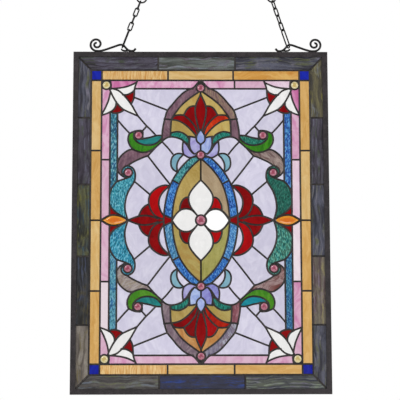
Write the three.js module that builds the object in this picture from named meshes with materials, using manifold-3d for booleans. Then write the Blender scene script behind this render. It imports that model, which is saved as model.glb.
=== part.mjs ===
// A hanging window panel of leaded opalescent glass, in millimetres, +Z up.
// It lies in the XZ plane and its front faces -Y. The origin is over the middle of the panel, level
// with the end rings of its two chains, where hooks hold it up. The panel is drawn about its own centre,
// with u to the right, v up and w towards the viewer, and the last lines set it in its place.
import * as THREE from "three";
import { mergeVertices } from "three/addons/utils/BufferGeometryUtils.js";
import Module from "manifold-3d";

const wasm = await Module();
wasm.setup();

// Driving dimensions
const PANEL_WIDTH = 457;
const PANEL_HEIGHT = 610;
const RAIL_FACE = 9.5;
const RAIL_DEPTH = 8;
const RAIL_WEB = 1.5;
const GLASS = 3;
const SOLDER_DEPTH = 4.8;
const LEAD = 3.2;
const GAP = 0.3;
const BORDER_LINE_U = 196;
const BORDER_LINE_V = 271.2;
const PINK_LINE_U = 177.2;
const PINK_LINE_V = 252.7;
const WIRE = 4;
const LINK_WIRE = 2.6;
const HANG_HEIGHT = 101;
const CURVE_TOLERANCE = 1.7;
const OUTLINE_TOLERANCE = 1.3;
const PRISM = 10;

const HALF_WIDTH = PANEL_WIDTH / 2;
const HALF_HEIGHT = PANEL_HEIGHT / 2;
const SIGHT_U = HALF_WIDTH - RAIL_FACE;
const SIGHT_V = HALF_HEIGHT - RAIL_FACE;
const SOLDER_FACE = SOLDER_DEPTH / 2;
const GLASS_FACE = GLASS / 2;

// Colours of the real pieces
const PATINA = { color: 0x35302f, roughness: 0.55, metalness: 0.6 };
const DARK_METAL = { color: 0x3a3437, roughness: 0.6, metalness: 0.55 };
const SMOKE = { color: 0x45454d, roughness: 0.25, metalness: 0 };
const AMBER = { color: 0xbe9650, roughness: 0.25, metalness: 0 };
const COBALT = { color: 0x191e96, roughness: 0.15, metalness: 0 };
const YELLOW = { color: 0xd7c882, roughness: 0.1, metalness: 0 };
const ORANGE = { color: 0xc86e00, roughness: 0.1, metalness: 0 };
const ROSE = { color: 0xbe96aa, roughness: 0.1, metalness: 0 };
const WHITE = { color: 0xe6e7e8, roughness: 0.2, metalness: 0 };
const TEAL = { color: 0x2f8a96, roughness: 0.2, metalness: 0 };

const panel = new THREE.Group();

// A piece joins the panel as one named mesh.
function addPiece(name, geometry, look) {
  const mesh = new THREE.Mesh(geometry, new THREE.MeshStandardMaterial(look));
  mesh.name = name;
  panel.add(mesh);
}

// Closed solids from geometries, and back
function solidOf(geometry) {
  geometry.deleteAttribute("normal");
  geometry.deleteAttribute("uv");
  const merged = mergeVertices(geometry, 1e-4);
  const vertProperties = new Float32Array(merged.getAttribute("position").array);
  const triVerts = new Uint32Array(merged.getIndex().array);
  return new wasm.Manifold(new wasm.Mesh({ numProp: 3, vertProperties, triVerts }));
}

function geometryOf(solid) {
  const mesh = solid.getMesh();
  const geometry = new THREE.BufferGeometry();
  const places = new THREE.BufferAttribute(new Float32Array(mesh.vertProperties), 3);
  geometry.setAttribute("position", places);
  geometry.setIndex(new THREE.BufferAttribute(new Uint32Array(mesh.triVerts), 1));
  geometry.computeVertexNormals();
  return geometry;
}

function joined(solids) {
  let level = solids;
  while (level.length > 1) {
    const next = [];
    for (let i = 0; i < level.length; i += 2) {
      next.push(i + 1 < level.length ? level[i].add(level[i + 1]) : level[i]);
    }
    level = next;
  }
  return level[0];
}

// An outline in u and v, made solid from w = back to w = front.
function slab(outline, back, front) {
  const shape = outline instanceof THREE.Shape ? outline : new THREE.Shape(outline);
  const options = { depth: front - back, bevelEnabled: false, curveSegments: 5 };
  const geometry = new THREE.ExtrudeGeometry(shape, options);
  geometry.translate(0, 0, back);
  return solidOf(geometry);
}

function rectangle(u0, v0, u1, v1) {
  return [
    new THREE.Vector2(u0, v0),
    new THREE.Vector2(u1, v0),
    new THREE.Vector2(u1, v1),
    new THREE.Vector2(u0, v1),
  ];
}

// The places of a line that bends by more than the tolerance between its neighbours
function thinned(places, tolerance) {
  const first = places[0];
  const last = places[places.length - 1];
  const along = new THREE.Vector2().subVectors(last, first);
  const length = Math.max(along.length(), 1e-9);
  let worst = 0;
  let at = 0;
  places.forEach((place, i) => {
    const away = new THREE.Vector2().subVectors(place, first);
    const off = Math.abs(along.cross(away)) / length;
    if (off > worst) {
      worst = off;
      at = i;
    }
  });
  if (worst <= tolerance) return [first, last];
  const before = thinned(places.slice(0, at + 1), tolerance);
  const after = thinned(places.slice(at), tolerance);
  return before.concat(after.slice(1));
}

// A smooth line through a few places, given as u, v, u, v and so on
function smooth(...numbers) {
  const places = [];
  for (let i = 0; i < numbers.length; i += 2) {
    places.push(new THREE.Vector2(numbers[i], numbers[i + 1]));
  }
  if (places.length === 2) return places;
  const curve = new THREE.SplineCurve(places);
  return thinned(curve.getPoints(places.length * 8), CURVE_TOLERANCE);
}

// The outline of a strip of even width along a line, a little longer than the line at both ends
function stripOutline(line, width) {
  const left = [];
  const right = [];
  line.forEach((place, i) => {
    const before = line[Math.max(i - 1, 0)];
    const after = line[Math.min(i + 1, line.length - 1)];
    const into = new THREE.Vector2().subVectors(place, before);
    const out = new THREE.Vector2().subVectors(after, place);
    if (i === 0) into.copy(out);
    if (i === line.length - 1) out.copy(into);
    into.normalize();
    out.normalize();
    const along = new THREE.Vector2().addVectors(into, out).normalize();
    const across = new THREE.Vector2(-along.y, along.x);
    const reach = width / 2 / Math.max(along.dot(into), 0.5);
    const end = i === 0 ? -width * 0.4 : i === line.length - 1 ? width * 0.4 : 0;
    const middle = place.clone().addScaledVector(along, end);
    left.push(middle.clone().addScaledVector(across, reach));
    right.unshift(middle.clone().addScaledVector(across, -reach));
  });
  return left.concat(right);
}

function ringOutline(radius, width) {
  const shape = new THREE.Shape();
  shape.absarc(0, 0, radius + width / 2, 0, Math.PI * 2, false);
  const hole = new THREE.Path();
  hole.absarc(0, 0, radius - width / 2, 0, Math.PI * 2, true);
  shape.holes.push(hole);
  return shape;
}

// The lead lines of the upper right quarter. The design is the same in all four quarters.
const lilyLines = [
  smooth(113, 252.7, 116.2, 245, 118.5, 237, 119, 228, 120.3, 218, 124.5, 209.3),
  smooth(115.2, 249, 120, 246.3, 130, 242, 140, 239.5, 150, 238.2, 160.5, 237.4),
  smooth(162, 252.7, 160.5, 244, 161, 236.5),
  smooth(118.8, 235.3, 122.3, 231.2, 127.5, 228.2, 133, 226.3, 139.5, 226.5),
  smooth(
    158, 237.6, 148, 234.3, 141, 228.8, 134.5, 222, 128.5, 214.5, 122.5, 206, 117.5, 197, 112, 187.5,
  ),
  smooth(
    163, 236, 160.5, 230, 156.5, 222, 151.5, 213.5, 146, 206.5, 140, 200.8, 133, 196.8, 120, 191,
    112, 187.5,
  ),
  smooth(161.5, 232, 163.3, 223, 165.3, 215.5, 168.2, 208, 171.8, 200, 177.2, 190),
  smooth(151.3, 213, 151.6, 207, 155, 200.5, 160.5, 195.6, 167.5, 192.3, 177.2, 188.8),
  smooth(137, 198.7, 142, 195.3, 148.5, 193, 156, 193, 161.8, 195.2),
];
const backgroundLines = [
  smooth(60.5, 198.5, 119, 221.5),
  smooth(112, 187.5, 104, 178, 97, 170, 88, 161.2, 79.5, 152),
  smooth(96.5, 169, 104, 160.5),
  smooth(148.5, 180.5, 138, 168, 127, 156.3),
  smooth(69, 141, 59, 130.3, 50, 119),
  smooth(54.5, 64, 70, 83.5, 84.5, 102.5, 94.2, 115.3),
  smooth(69, 141, 80.5, 130.5, 94.2, 115.3),
  smooth(91, 46.5, 118, 69.5),
];
const bandLines = [
  smooth(
    1.5, 252.7, 12.5, 240, 21, 236, 30, 230.8, 40, 221.5, 50, 209.5, 59.5, 197.5, 64.3, 182,
    67.6, 166, 69, 152, 69, 141,
  ),
  smooth(
    3.5, 231.5, 10, 226.8, 20, 219.7, 30, 211.5, 38, 203, 44.5, 194, 49.5, 187, 52.5, 179,
    53.6, 166, 54, 150,
  ),
  smooth(14, 237.4, 118.3, 237.4),
];
const redFlowerLines = [
  smooth(0, 232, 0, 227.5),
  smooth(0, 227.5, 4, 219, 7.8, 210, 9.8, 201, 9.3, 190, 7.3, 179, 4.5, 168, 2.5, 160),
  smooth(8.8, 205.5, 14, 205.7, 19.5, 204.2, 25, 199, 30.3, 189.3),
  smooth(30.3, 189.3, 21.5, 182.3, 14, 174, 9, 166.5, 6.2, 158),
  smooth(30.3, 189.3, 39, 189.5, 46.5, 188, 52.3, 182),
  smooth(52.3, 181, 46, 180.5, 37, 177.8, 28.5, 172.6, 20.5, 165.8, 13.5, 158.3, 8, 151),
];
const budLines = [
  smooth(0, 163, 4.5, 157.3, 7.8, 149.5, 6.5, 141.5, 0, 136),
  smooth(7.5, 147.8, 13, 149.5, 20.8, 150.5),
  smooth(31, 140.5, 27, 138.2, 23, 132.7, 18.5, 125.3, 12, 119, 7, 120.5),
  smooth(31.5, 141.5, 32.4, 133, 32.3, 126, 30.5, 118),
  smooth(7.5, 114.5, 14.5, 112.8, 22, 112.7, 30.5, 118),
  smooth(23, 134, 20.6, 138, 20.7, 144, 23, 149.3, 28.3, 154.7, 36.5, 158.6, 45, 158.9, 54, 156.5),
  smooth(22.5, 135.5, 27.5, 139.8, 33, 144.2, 41, 147.8, 50, 149.6, 58, 149, 64.5, 145.6, 69, 141),
];
const crescentLines = [
  smooth(30.5, 118, 38, 119.8, 45.5, 118.2, 50.8, 113, 53.1, 105, 52.5, 97, 49, 90.8, 42, 86.3),
  smooth(30.5, 118, 37, 111.5, 41.2, 104, 42.6, 96, 41.5, 87),
];
const ellipseLines = [
  smooth(8, 116, 18, 111.3, 28, 102.5, 38, 91, 47, 77.5, 54, 63.5, 59, 49, 62.5, 33, 64.7, 18, 66, 0),
  smooth(1, 110, 10, 102, 19, 93, 28, 81.8, 35.5, 70, 40.5, 59, 44.6, 46, 48, 31, 50, 16, 51, 0),
  smooth(0, 72, 0, 110),
  smooth(50.8, 3.5, 57, 5.6, 65.8, 9.7),
];
const whiteFlowerLines = [
  smooth(
    0, 72, 6, 66, 11.5, 59.8, 17, 52.7, 20.7, 45.5, 21.7, 38, 20.4, 30, 17, 22.3,
    12, 15.7, 5.5, 7.5,
  ),
  smooth(5.5, 7.5, 14, 16.5, 20.5, 19.7, 28, 20.4, 35.5, 18.3, 41.8, 13.2, 47, 6.6, 51, 0),
  smooth(21.5, 41, 26.5, 40.5, 31.3, 37.2, 34.6, 31.5, 36.7, 25.5, 37.3, 18),
];
const palmetteLines = [
  smooth(56, 60.5, 64, 53.7, 69.6, 47, 73.4, 39, 74.6, 30.5, 73.3, 22.5, 70.4, 15, 65.8, 8.5),
  smooth(55.5, 61.5, 64, 62.6, 74, 59.8, 83, 54, 89.5, 46.5, 92.4, 37.5, 92, 28.8),
  smooth(92, 28.8, 89.6, 21, 86, 14, 81, 8.5, 75, 4.7, 66, 2),
  smooth(92, 28.8, 98, 26, 104, 20.3, 107.5, 14, 110, 7.8),
  smooth(76, 2.8, 84, 6, 94, 8, 103, 8.3, 111, 7, 120, 4, 129, 0),
];
const marqueLines = [
  smooth(129, 0, 134, 4.2, 141, 7.4, 150, 9.3, 158, 9.3, 165.5, 7.2, 172, 3.4, 177.2, 0),
];
const leafLines = [
  smooth(
    129, 0, 132, 9, 134.2, 19, 134.4, 28, 133, 38, 130, 48, 125.5, 57, 120.5, 64.8,
    117.3, 72, 116.2, 80, 117.6, 88, 122, 94.3, 129.5, 98,
  ),
  smooth(125, 78.3, 134, 74.5, 141.5, 72, 149, 69, 155, 62.3, 159.5, 54.5, 161.8, 45),
  smooth(161.8, 28, 158.5, 22.3, 153, 16.5, 146.5, 11.7, 141, 8),
];
const scrollLines = [
  smooth(103.6, 146, 103.4, 153, 104, 160.5, 111, 161.3, 118, 160, 127, 156.3),
  smooth(69, 152.5, 79.5, 152, 90, 149, 100, 147.1, 111, 145.6, 118.3, 146),
  smooth(
    69, 149, 74, 142.3, 80.5, 137.5, 88.5, 135, 97.5, 134.8, 106, 136.7, 113, 140.4, 118, 146,
    119.7, 152, 118, 160,
  ),
  smooth(
    79.5, 131.5, 88, 125.8, 97, 122.3, 106, 121.8, 114, 124, 121.5, 128, 127, 135.5, 129.6, 143.5,
    129, 151, 127, 156.3,
  ),
  smooth(118.5, 126.5, 126, 126.6, 133, 123.2, 140, 117.5, 145.3, 110.5, 148.5, 101),
  smooth(148.5, 89, 144, 83, 138.5, 78.7, 132, 75),
  smooth(
    94.2, 115.3, 101, 113.2, 109, 109.7, 118, 105.4, 125.5, 101, 129.5, 98, 135, 96, 139, 92,
    140.6, 86.5, 138, 79.5,
  ),
];
const stripLines = [
  smooth(PINK_LINE_U - 15.4, 195.2, PINK_LINE_U - 15.4, 8.5),
  smooth(148.5, 193, 148.5, 69.2),
  smooth(PINK_LINE_U - 15.4, 108.5, PINK_LINE_U, 108.5),
  smooth(58.5, PINK_LINE_V, 58.5, BORDER_LINE_V),
  smooth(PINK_LINE_U, 125, BORDER_LINE_U, 125),
  smooth(PINK_LINE_U, 0, BORDER_LINE_U, 0),
  smooth(0, PINK_LINE_V, BORDER_LINE_U, PINK_LINE_V),
  smooth(PINK_LINE_U, 0, PINK_LINE_U, BORDER_LINE_V),
  smooth(0, BORDER_LINE_V, BORDER_LINE_U, BORDER_LINE_V),
  smooth(BORDER_LINE_U, 0, BORDER_LINE_U, BORDER_LINE_V),
  smooth(BORDER_LINE_U, BORDER_LINE_V, HALF_WIDTH + 2, HALF_HEIGHT + 2),
  smooth(BORDER_LINE_U, 64, HALF_WIDTH, 64),
  smooth(BORDER_LINE_U, 184.5, HALF_WIDTH, 184.5),
];
const quarterLines = [
  ...lilyLines,
  ...backgroundLines,
  ...bandLines,
  ...redFlowerLines,
  ...budLines,
  ...crescentLines,
  ...ellipseLines,
  ...whiteFlowerLines,
  ...palmetteLines,
  ...marqueLines,
  ...leafLines,
  ...scrollLines,
  ...stripLines,
];
// Joints that aren't the same in all four quarters: one pink strip and the top and bottom border
const singleLines = [
  smooth(61, 237.4, 61, PINK_LINE_V),
  smooth(-76, BORDER_LINE_V, -76, HALF_HEIGHT),
  smooth(62, BORDER_LINE_V, 62, HALF_HEIGHT),
  smooth(-73, -BORDER_LINE_V, -73, -HALF_HEIGHT),
  smooth(77, -BORDER_LINE_V, 77, -HALF_HEIGHT),
];
// Round jewels: centre u, centre v, radius of the lead ring
const ROSE_RING = 7.4;
const CORNER_RING = 7.8;
const CENTRE_RING = 9.2;
const roundJewels = [
  { u: 111, v: 152.7, ring: ROSE_RING },
  { u: 129, v: 85.4, ring: ROSE_RING },
  { u: 0, v: 239, ring: ROSE_RING },
  { u: 0, v: 117, ring: ROSE_RING },
];
const cornerJewel = { u: 169, v: 244, ring: CORNER_RING };
const QUARTERS = [
  { name: "top_right", u: 1, v: 1 },
  { name: "top_left", u: -1, v: 1 },
  { name: "bottom_right", u: 1, v: -1 },
  { name: "bottom_left", u: -1, v: -1 },
];

function mirrored(line, quarter) {
  return line.map((place) => new THREE.Vector2(place.x * quarter.u, place.y * quarter.v));
}

// The upright prism of all lead lines at one width, with any further strips
function leadPrism(width, further) {
  const outlines = singleLines.map((line) => stripOutline(line, width));
  for (const quarter of QUARTERS) {
    quarterLines.forEach((line) => outlines.push(stripOutline(mirrored(line, quarter), width)));
  }
  outlines.push(...further);
  const strips = outlines.map((outline) => slab(outline, 0, PRISM));
  const rings = [{ u: 0, v: 0, ring: CENTRE_RING }];
  for (const jewel of [...roundJewels, cornerJewel]) {
    for (const quarter of QUARTERS) {
      if (jewel.u === 0 && quarter.u < 0) continue;
      rings.push({ u: jewel.u * quarter.u, v: jewel.v * quarter.v, ring: jewel.ring });
    }
  }
  for (const { u, v, ring } of rings) {
    strips.push(slab(ringOutline(ring, width), 0, PRISM).translate([u, v, 0]));
  }
  return joined(strips);
}

// The closed outlines on top of a prism: its own runs anticlockwise, those of its openings clockwise
function outlinesOf(prism) {
  const mesh = prism.getMesh();
  const stride = mesh.numProp;
  const numbers = mesh.vertProperties;
  const place = (i) => new THREE.Vector2(numbers[i * stride], numbers[i * stride + 1]);
  const onTop = (i) => numbers[i * stride + 2] > PRISM - 0.001;
  const edges = new Map();
  for (let t = 0; t < mesh.triVerts.length; t += 3) {
    const corners = [...mesh.triVerts.slice(t, t + 3)];
    if (!corners.every(onTop)) continue;
    corners.forEach((from, i) => {
      const to = corners[(i + 1) % 3];
      if (!edges.delete(to + "_" + from)) edges.set(from + "_" + to, [from, to]);
    });
  }
  const following = new Map();
  for (const [from, to] of edges.values()) {
    following.set(from, [...(following.get(from) || []), to]);
  }
  const outlines = [];
  for (const start of following.keys()) {
    const outline = [];
    let at = start;
    while (following.get(at).length) {
      outline.push(place(at));
      at = following.get(at).pop();
    }
    if (outline.length > 2) outlines.push(simplified(outline));
  }
  return outlines.filter((outline) => outline.length > 2);
}

// A closed outline without the places that change it by less than the tolerance
function simplified(outline) {
  let far = 0;
  outline.forEach((place, i) => {
    if (place.distanceTo(outline[0]) > outline[far].distanceTo(outline[0])) far = i;
  });
  const half = thinned(outline.slice(0, far + 1), OUTLINE_TOLERANCE);
  const rest = thinned([...outline.slice(far), outline[0]], OUTLINE_TOLERANCE);
  const kept = [...half.slice(0, -1), ...rest.slice(0, -1)];
  return kept.filter((place, i) => {
    const before = kept[(i + kept.length - 1) % kept.length];
    const after = kept[(i + 1) % kept.length];
    return thinned([before, place, after], OUTLINE_TOLERANCE / 3).length > 2;
  });
}

// An upright solid made smaller by the gap on every side of its outline, without the thin ends that
// come off it
function drawnIn(solid, gap) {
  const directions = circle(gap, 8);
  const drawn = directions.reduce((kept, { x, y }) => kept.intersect(solid.translate([x, y, 0])), solid);
  return drawn.decompose().reduce((most, body) => (body.volume() > most.volume() ? body : most));
}

function contains(outline, u, v) {
  let inside = false;
  outline.forEach((a, i) => {
    const b = outline[(i + 1) % outline.length];
    const crosses = a.y > v !== b.y > v && u < a.x + ((v - a.y) / (b.y - a.y)) * (b.x - a.x);
    if (crosses) inside = !inside;
  });
  return inside;
}

function outlineAt(outlines, u, v) {
  const openings = outlines.filter((outline) => THREE.ShapeUtils.area(outline) < 0);
  const found = openings.find((outline) => contains(outline, u, v));
  if (!found) throw new Error("no glass cell at " + u + ", " + v);
  return found;
}

function circle(radius, count) {
  const outline = [];
  for (let i = 0; i < count; i++) {
    const angle = (i / count) * Math.PI * 2;
    outline.push(new THREE.Vector2(radius * Math.cos(angle), radius * Math.sin(angle)));
  }
  return outline;
}

// A jewel with a straight edge from its back to its shoulder and a dome in front, on an anticlockwise
// outline about its own centre
function jewelSolid(outline, back, shoulder, rise) {
  const shares = [1, 1, 0.9, 0.55];
  const heights = shares.map((share) => shoulder + rise * Math.sqrt(1 - share * share));
  heights[0] = back;
  const places = shares.flatMap((share, i) =>
    outline.flatMap((place) => [place.x * share, place.y * share, heights[i]]),
  );
  const count = outline.length;
  const faces = [];
  for (let low = 0; low < 3 * count; low += count) {
    for (let i = 0; i < count; i++) {
      const next = (i + 1) % count;
      faces.push(low + i, low + next, low + count + next);
      faces.push(low + i, low + count + next, low + count + i);
    }
  }
  for (let i = 1; i < count - 1; i++) {
    faces.push(0, i + 1, i);
    faces.push(3 * count, 3 * count + i, 3 * count + i + 1);
  }
  const geometry = new THREE.BufferGeometry();
  geometry.setAttribute("position", new THREE.Float32BufferAttribute(places, 3));
  geometry.setIndex(faces);
  return solidOf(geometry);
}

// Places of the glass pieces that are nodes of their own
const glassPlaces = [
  { name: "flower_petal_top", u: 0, v: 45, look: WHITE },
  { name: "flower_petal_bottom", u: 0, v: -45, look: WHITE },
  { name: "flower_petal_right", u: 30, v: 0, look: WHITE },
  { name: "flower_petal_left", u: -30, v: 0, look: WHITE },
];
const MARQUE_PLACE = 154;
const jewelPlaces = [
  { u: 0, v: 0 },
  { u: MARQUE_PLACE, v: 0 },
  { u: -MARQUE_PLACE, v: 0 },
];
for (const quarter of QUARTERS) {
  const { name, u, v } = quarter;
  glassPlaces.push({ name: "teal_leaf_" + name, u: 146 * u, v: 40 * v, look: TEAL });
  glassPlaces.push({ name: "corner_square_" + name, u: 186 * u, v: 262 * v, look: COBALT });
  jewelPlaces.push({ u: cornerJewel.u * u, v: cornerJewel.v * v });
}
const borderPlaces = [];
for (const side of [{ name: "top", v: 1 }, { name: "bottom", v: -1 }]) {
  ["left", "middle", "right"].forEach((part, i) => {
    const amber = "amber_strip_" + side.name + "_" + part;
    const border = "border_glass_" + side.name + "_" + part;
    glassPlaces.push({ name: amber, u: (i - 1) * 115, v: 262 * side.v, look: AMBER });
    borderPlaces.push({ name: border, u: (i - 1) * 120, v: 284 * side.v, look: SMOKE });
  });
}
for (const side of [{ name: "left", u: -1 }, { name: "right", u: 1 }]) {
  [190, 60, -60, -190].forEach((v, i) => {
    const name = "amber_strip_" + side.name + "_" + (i + 1);
    glassPlaces.push({ name, u: 186 * side.u, v, look: AMBER });
  });
  [230, 125, 0, -125, -230].forEach((v, i) => {
    const name = "border_glass_" + side.name + "_" + (i + 1);
    borderPlaces.push({ name, u: 208 * side.u, v, look: SMOKE });
  });
}

// The leaded field: the soldered net with the small glass pieces and rose jewels that it holds.
// Its small glass stands back from the solder in front, and is flush with it behind.
const SMALL_CELL = 26;
const sightSlab = slab(rectangle(-SIGHT_U + GAP, -SIGHT_V + GAP, SIGHT_U - GAP, SIGHT_V - GAP), 0, PRISM);
const netOutlines = outlinesOf(leadPrism(LEAD, []).intersect(sightSlab));
const isOwn = (outline) => [...glassPlaces, ...jewelPlaces].some(({ u, v }) => contains(outline, u, v));
const rosePlaces = roundJewels.flatMap(({ u, v }) =>
  QUARTERS.filter((q) => u > 0 || q.u > 0).map((q) => ({ u: u * q.u, v: v * q.v })),
);
const netEdge = netOutlines.find((outline) => THREE.ShapeUtils.area(outline) > 0);
const openings = netOutlines.filter((outline) => THREE.ShapeUtils.area(outline) < -SMALL_CELL);
const cuts = openings.map((opening) => {
  const back = isOwn(opening) ? -SOLDER_FACE - 1 : GLASS_FACE;
  return slab(opening, back, SOLDER_FACE + 1);
});
const domes = rosePlaces.map(({ u, v }) =>
  jewelSolid(circle(ROSE_RING - LEAD / 2 - 0.4, 8), 0, GLASS_FACE + 0.3, 2).translate([u, v, 0]),
);
const leadedField = slab(netEdge, -SOLDER_FACE, SOLDER_FACE).subtract(joined(cuts)).add(joined(domes));
addPiece("leaded_field", geometryOf(leadedField), PATINA);

// Glass pieces of their own, each in its opening of the net. The outer edge of the border glass
// stands in the rails.
const GRIP = 6.8;
const wide = LEAD + 2 * GAP;
const outerU = SIGHT_U + GRIP;
const outerV = SIGHT_V + GRIP;
const rims = [
  rectangle(-outerU - wide, outerV, outerU + wide, outerV + wide),
  rectangle(-outerU - wide, -outerV - wide, outerU + wide, -outerV),
  rectangle(outerU, -outerV - wide, outerU + wide, outerV + wide),
  rectangle(-outerU - wide, -outerV - wide, -outerU, outerV + wide),
];
const borderOutlines = outlinesOf(leadPrism(wide, rims));
for (const { name, u, v, look } of borderPlaces) {
  const outline = outlineAt(borderOutlines, u, v);
  addPiece(name, geometryOf(slab(outline, -GLASS_FACE, GLASS_FACE)), look);
}
for (const { name, u, v, look } of glassPlaces) {
  const opening = slab(outlineAt(netOutlines, u, v), -GLASS_FACE, GLASS_FACE);
  addPiece(name, geometryOf(drawnIn(opening, GAP)), look);
}

// A jewel of its own fills its opening in the net but for a little more than the gap.
const JEWEL_RISE = 2.6;
function addJewel(name, u, v, rise, look) {
  const opening = [...outlineAt(netOutlines, u, v)].reverse();
  const centred = opening.map((place) => new THREE.Vector2(place.x - u, place.y - v));
  const nearest = Math.min(...centred.map((place) => place.length()));
  const share = 1 - (2 * GAP) / nearest;
  const outline = centred.map((place) => place.multiplyScalar(share));
  const jewel = jewelSolid(outline, -GLASS_FACE, GLASS_FACE, rise).translate([u, v, 0]);
  addPiece(name, geometryOf(jewel), look);
}
for (const { name, u, v } of QUARTERS) {
  addJewel("corner_jewel_" + name, cornerJewel.u * u, cornerJewel.v * v, JEWEL_RISE, YELLOW);
}
addJewel("centre_jewel", 0, 0, JEWEL_RISE, ROSE);
addJewel("marquise_jewel_right", MARQUE_PLACE, 0, JEWEL_RISE, ORANGE);
addJewel("marquise_jewel_left", -MARQUE_PLACE, 0, JEWEL_RISE, ORANGE);

// Rails: U-shaped channel, mitred at the corners
function railSolid(length, mitreRun) {
  const half = length / 2;
  const web = RAIL_FACE - RAIL_WEB;
  const slot = GLASS_FACE + GAP;
  const profile = new THREE.Shape();
  profile.moveTo(0, -RAIL_DEPTH / 2);
  profile.lineTo(RAIL_FACE, -RAIL_DEPTH / 2);
  profile.lineTo(RAIL_FACE, RAIL_DEPTH / 2);
  profile.lineTo(0, RAIL_DEPTH / 2);
  profile.lineTo(0, slot);
  profile.lineTo(web, slot);
  profile.lineTo(web, -slot);
  profile.lineTo(0, -slot);
  profile.closePath();
  const geometry = new THREE.ExtrudeGeometry(profile, { depth: length, bevelEnabled: false });
  geometry.translate(0, 0, -half);
  geometry.rotateX(Math.PI / 2);
  const bar = solidOf(geometry);
  const keep = [
    new THREE.Vector2(RAIL_FACE, half - GAP / 2),
    new THREE.Vector2(0, half - mitreRun - GAP / 2),
    new THREE.Vector2(0, -half + mitreRun + GAP / 2),
    new THREE.Vector2(RAIL_FACE, -half + GAP / 2),
  ];
  return bar.intersect(slab(keep, -RAIL_DEPTH, RAIL_DEPTH));
}

const uprightRail = railSolid(PANEL_HEIGHT, RAIL_FACE);
const crossRail = railSolid(PANEL_WIDTH, RAIL_FACE);
const rightRail = uprightRail.translate([SIGHT_U, 0, 0]);
const topRail = crossRail.translate([SIGHT_V, 0, 0]).rotate([0, 0, 90]);
addPiece("frame_rail_right", geometryOf(rightRail), DARK_METAL);
addPiece("frame_rail_left", geometryOf(rightRail.rotate([0, 0, 180])), DARK_METAL);
addPiece("frame_rail_top", geometryOf(topRail), DARK_METAL);
addPiece("frame_rail_bottom", geometryOf(topRail.rotate([0, 0, 180])), DARK_METAL);

// A round wire along a smooth route in the panel's plane, or closed on itself
function wireAlong(route, diameter, steps, sides, closed) {
  const path = new THREE.CatmullRomCurve3(route, closed, "centripetal");
  const section = new THREE.Shape(circle(diameter / 2, sides));
  const options = { steps, bevelEnabled: false, extrudePath: path, curveSegments: 1 };
  return solidOf(new THREE.ExtrudeGeometry(section, options));
}

// Scroll hangers: a spiral end, a long slanting arm, a peak that the chain hangs on and a foot.
// Along is measured from the peak towards the middle of the panel, up from the top of the rail.
const PEAK = { along: 0, up: 12.4 };
const SPIRAL = { along: -48, up: 14, start: 2.2, end: 12.1, from: 1.43, to: 10.93 };
function hangerSolid() {
  const places = [];
  const turns = 17;
  for (let i = 0; i <= turns; i++) {
    const share = i / turns;
    const angle = SPIRAL.from + (SPIRAL.to - SPIRAL.from) * share;
    const radius = SPIRAL.start + (SPIRAL.end - SPIRAL.start) * share;
    places.push([SPIRAL.along + radius * Math.cos(angle), SPIRAL.up + radius * Math.sin(angle)]);
  }
  places.push([-41, 1.9], [-33, 3.8], [-18, 9], [-5, 13.2], [PEAK.along, PEAK.up]);
  places.push([8, 4.2], [13.5, 1.9], [19, 2.3], [22.6, 6.2]);
  const route = places.map(([along, up]) => new THREE.Vector3(along, up, 0));
  const curl = [[11, 2.6], [5, 2.2], [0, 2.6], [-2.6, 4.4], [-2.2, 5.8]];
  const curlRoute = curl.map(([along, up]) => new THREE.Vector3(along, up, 0));
  const arm = wireAlong(route, WIRE, 34, 4, false);
  return arm.add(wireAlong(curlRoute, WIRE * 0.8, 6, 4, false));
}

// Chains: a long loop over the peak, oval links turned in turn, and a round end ring
const LINK_LENGTH = 16.4;
const LINK_WIDTH = 6.7;
const LOOP_LENGTH = 35.6;
const LOOP_WIDTH = 9;
const RING_RADIUS = 8.75;
const RING_WIRE = 3;
const BITE = 0.3;

function ovalRoute(length, width) {
  const side = width / 2;
  const straight = length / 2 - side;
  return [
    new THREE.Vector3(0, length / 2, 0),
    new THREE.Vector3(-side, straight, 0),
    new THREE.Vector3(-side, -straight, 0),
    new THREE.Vector3(0, -length / 2, 0),
    new THREE.Vector3(side, -straight, 0),
    new THREE.Vector3(side, straight, 0),
  ];
}

function chainSolid(tilt, turned) {
  const links = [];
  let foot = 0;
  const lengths = [LOOP_LENGTH, LINK_LENGTH, LINK_LENGTH, LINK_LENGTH, LINK_LENGTH];
  lengths.forEach((length, i) => {
    const width = i === 0 ? LOOP_WIDTH : LINK_WIDTH;
    const steps = i === 0 ? 14 : 8;
    const link = wireAlong(ovalRoute(length, width), LINK_WIRE, steps, 6, true);
    const turn = turned + (i % 2 === 0 ? 90 : 0);
    links.push(link.rotate([0, turn, 0]).translate([0, foot + length / 2, 0]));
    foot += length - LINK_WIRE + BITE;
  });
  foot -= (RING_WIRE - LINK_WIRE) / 2;
  const ring = circle(RING_RADIUS, 12).map((place) => new THREE.Vector3(place.y, -place.x, 0));
  const endRing = wireAlong(ring, RING_WIRE, 12, 6, true);
  links.push(endRing.rotate([0, turned, 0]).translate([0, foot + RING_RADIUS, 0]));
  const reach = WIRE / 2 + LINK_WIRE / 2 + 4 * GAP;
  const angle = THREE.MathUtils.degToRad(tilt);
  const start = [PEAK.along - reach * Math.sin(angle), PEAK.up - reach * Math.cos(angle), 0];
  return joined(links).rotate([0, 0, -tilt]).translate(start);
}

const hangers = [
  { side: "left", peak: -139.5, turn: 0, tilt: 20.8, twist: 0 },
  { side: "right", peak: 158, turn: 180, tilt: 18.5, twist: 28 },
];
for (const { side, peak, turn, tilt, twist } of hangers) {
  const seat = [peak, HALF_HEIGHT + GAP, 0];
  const hanger = hangerSolid().rotate([0, turn, 0]).translate(seat);
  const chain = chainSolid(tilt, twist).rotate([0, turn, 0]).translate(seat);
  addPiece("scroll_hanger_" + side, geometryOf(hanger), DARK_METAL);
  addPiece("hanging_chain_" + side, geometryOf(chain), DARK_METAL);
}

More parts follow.
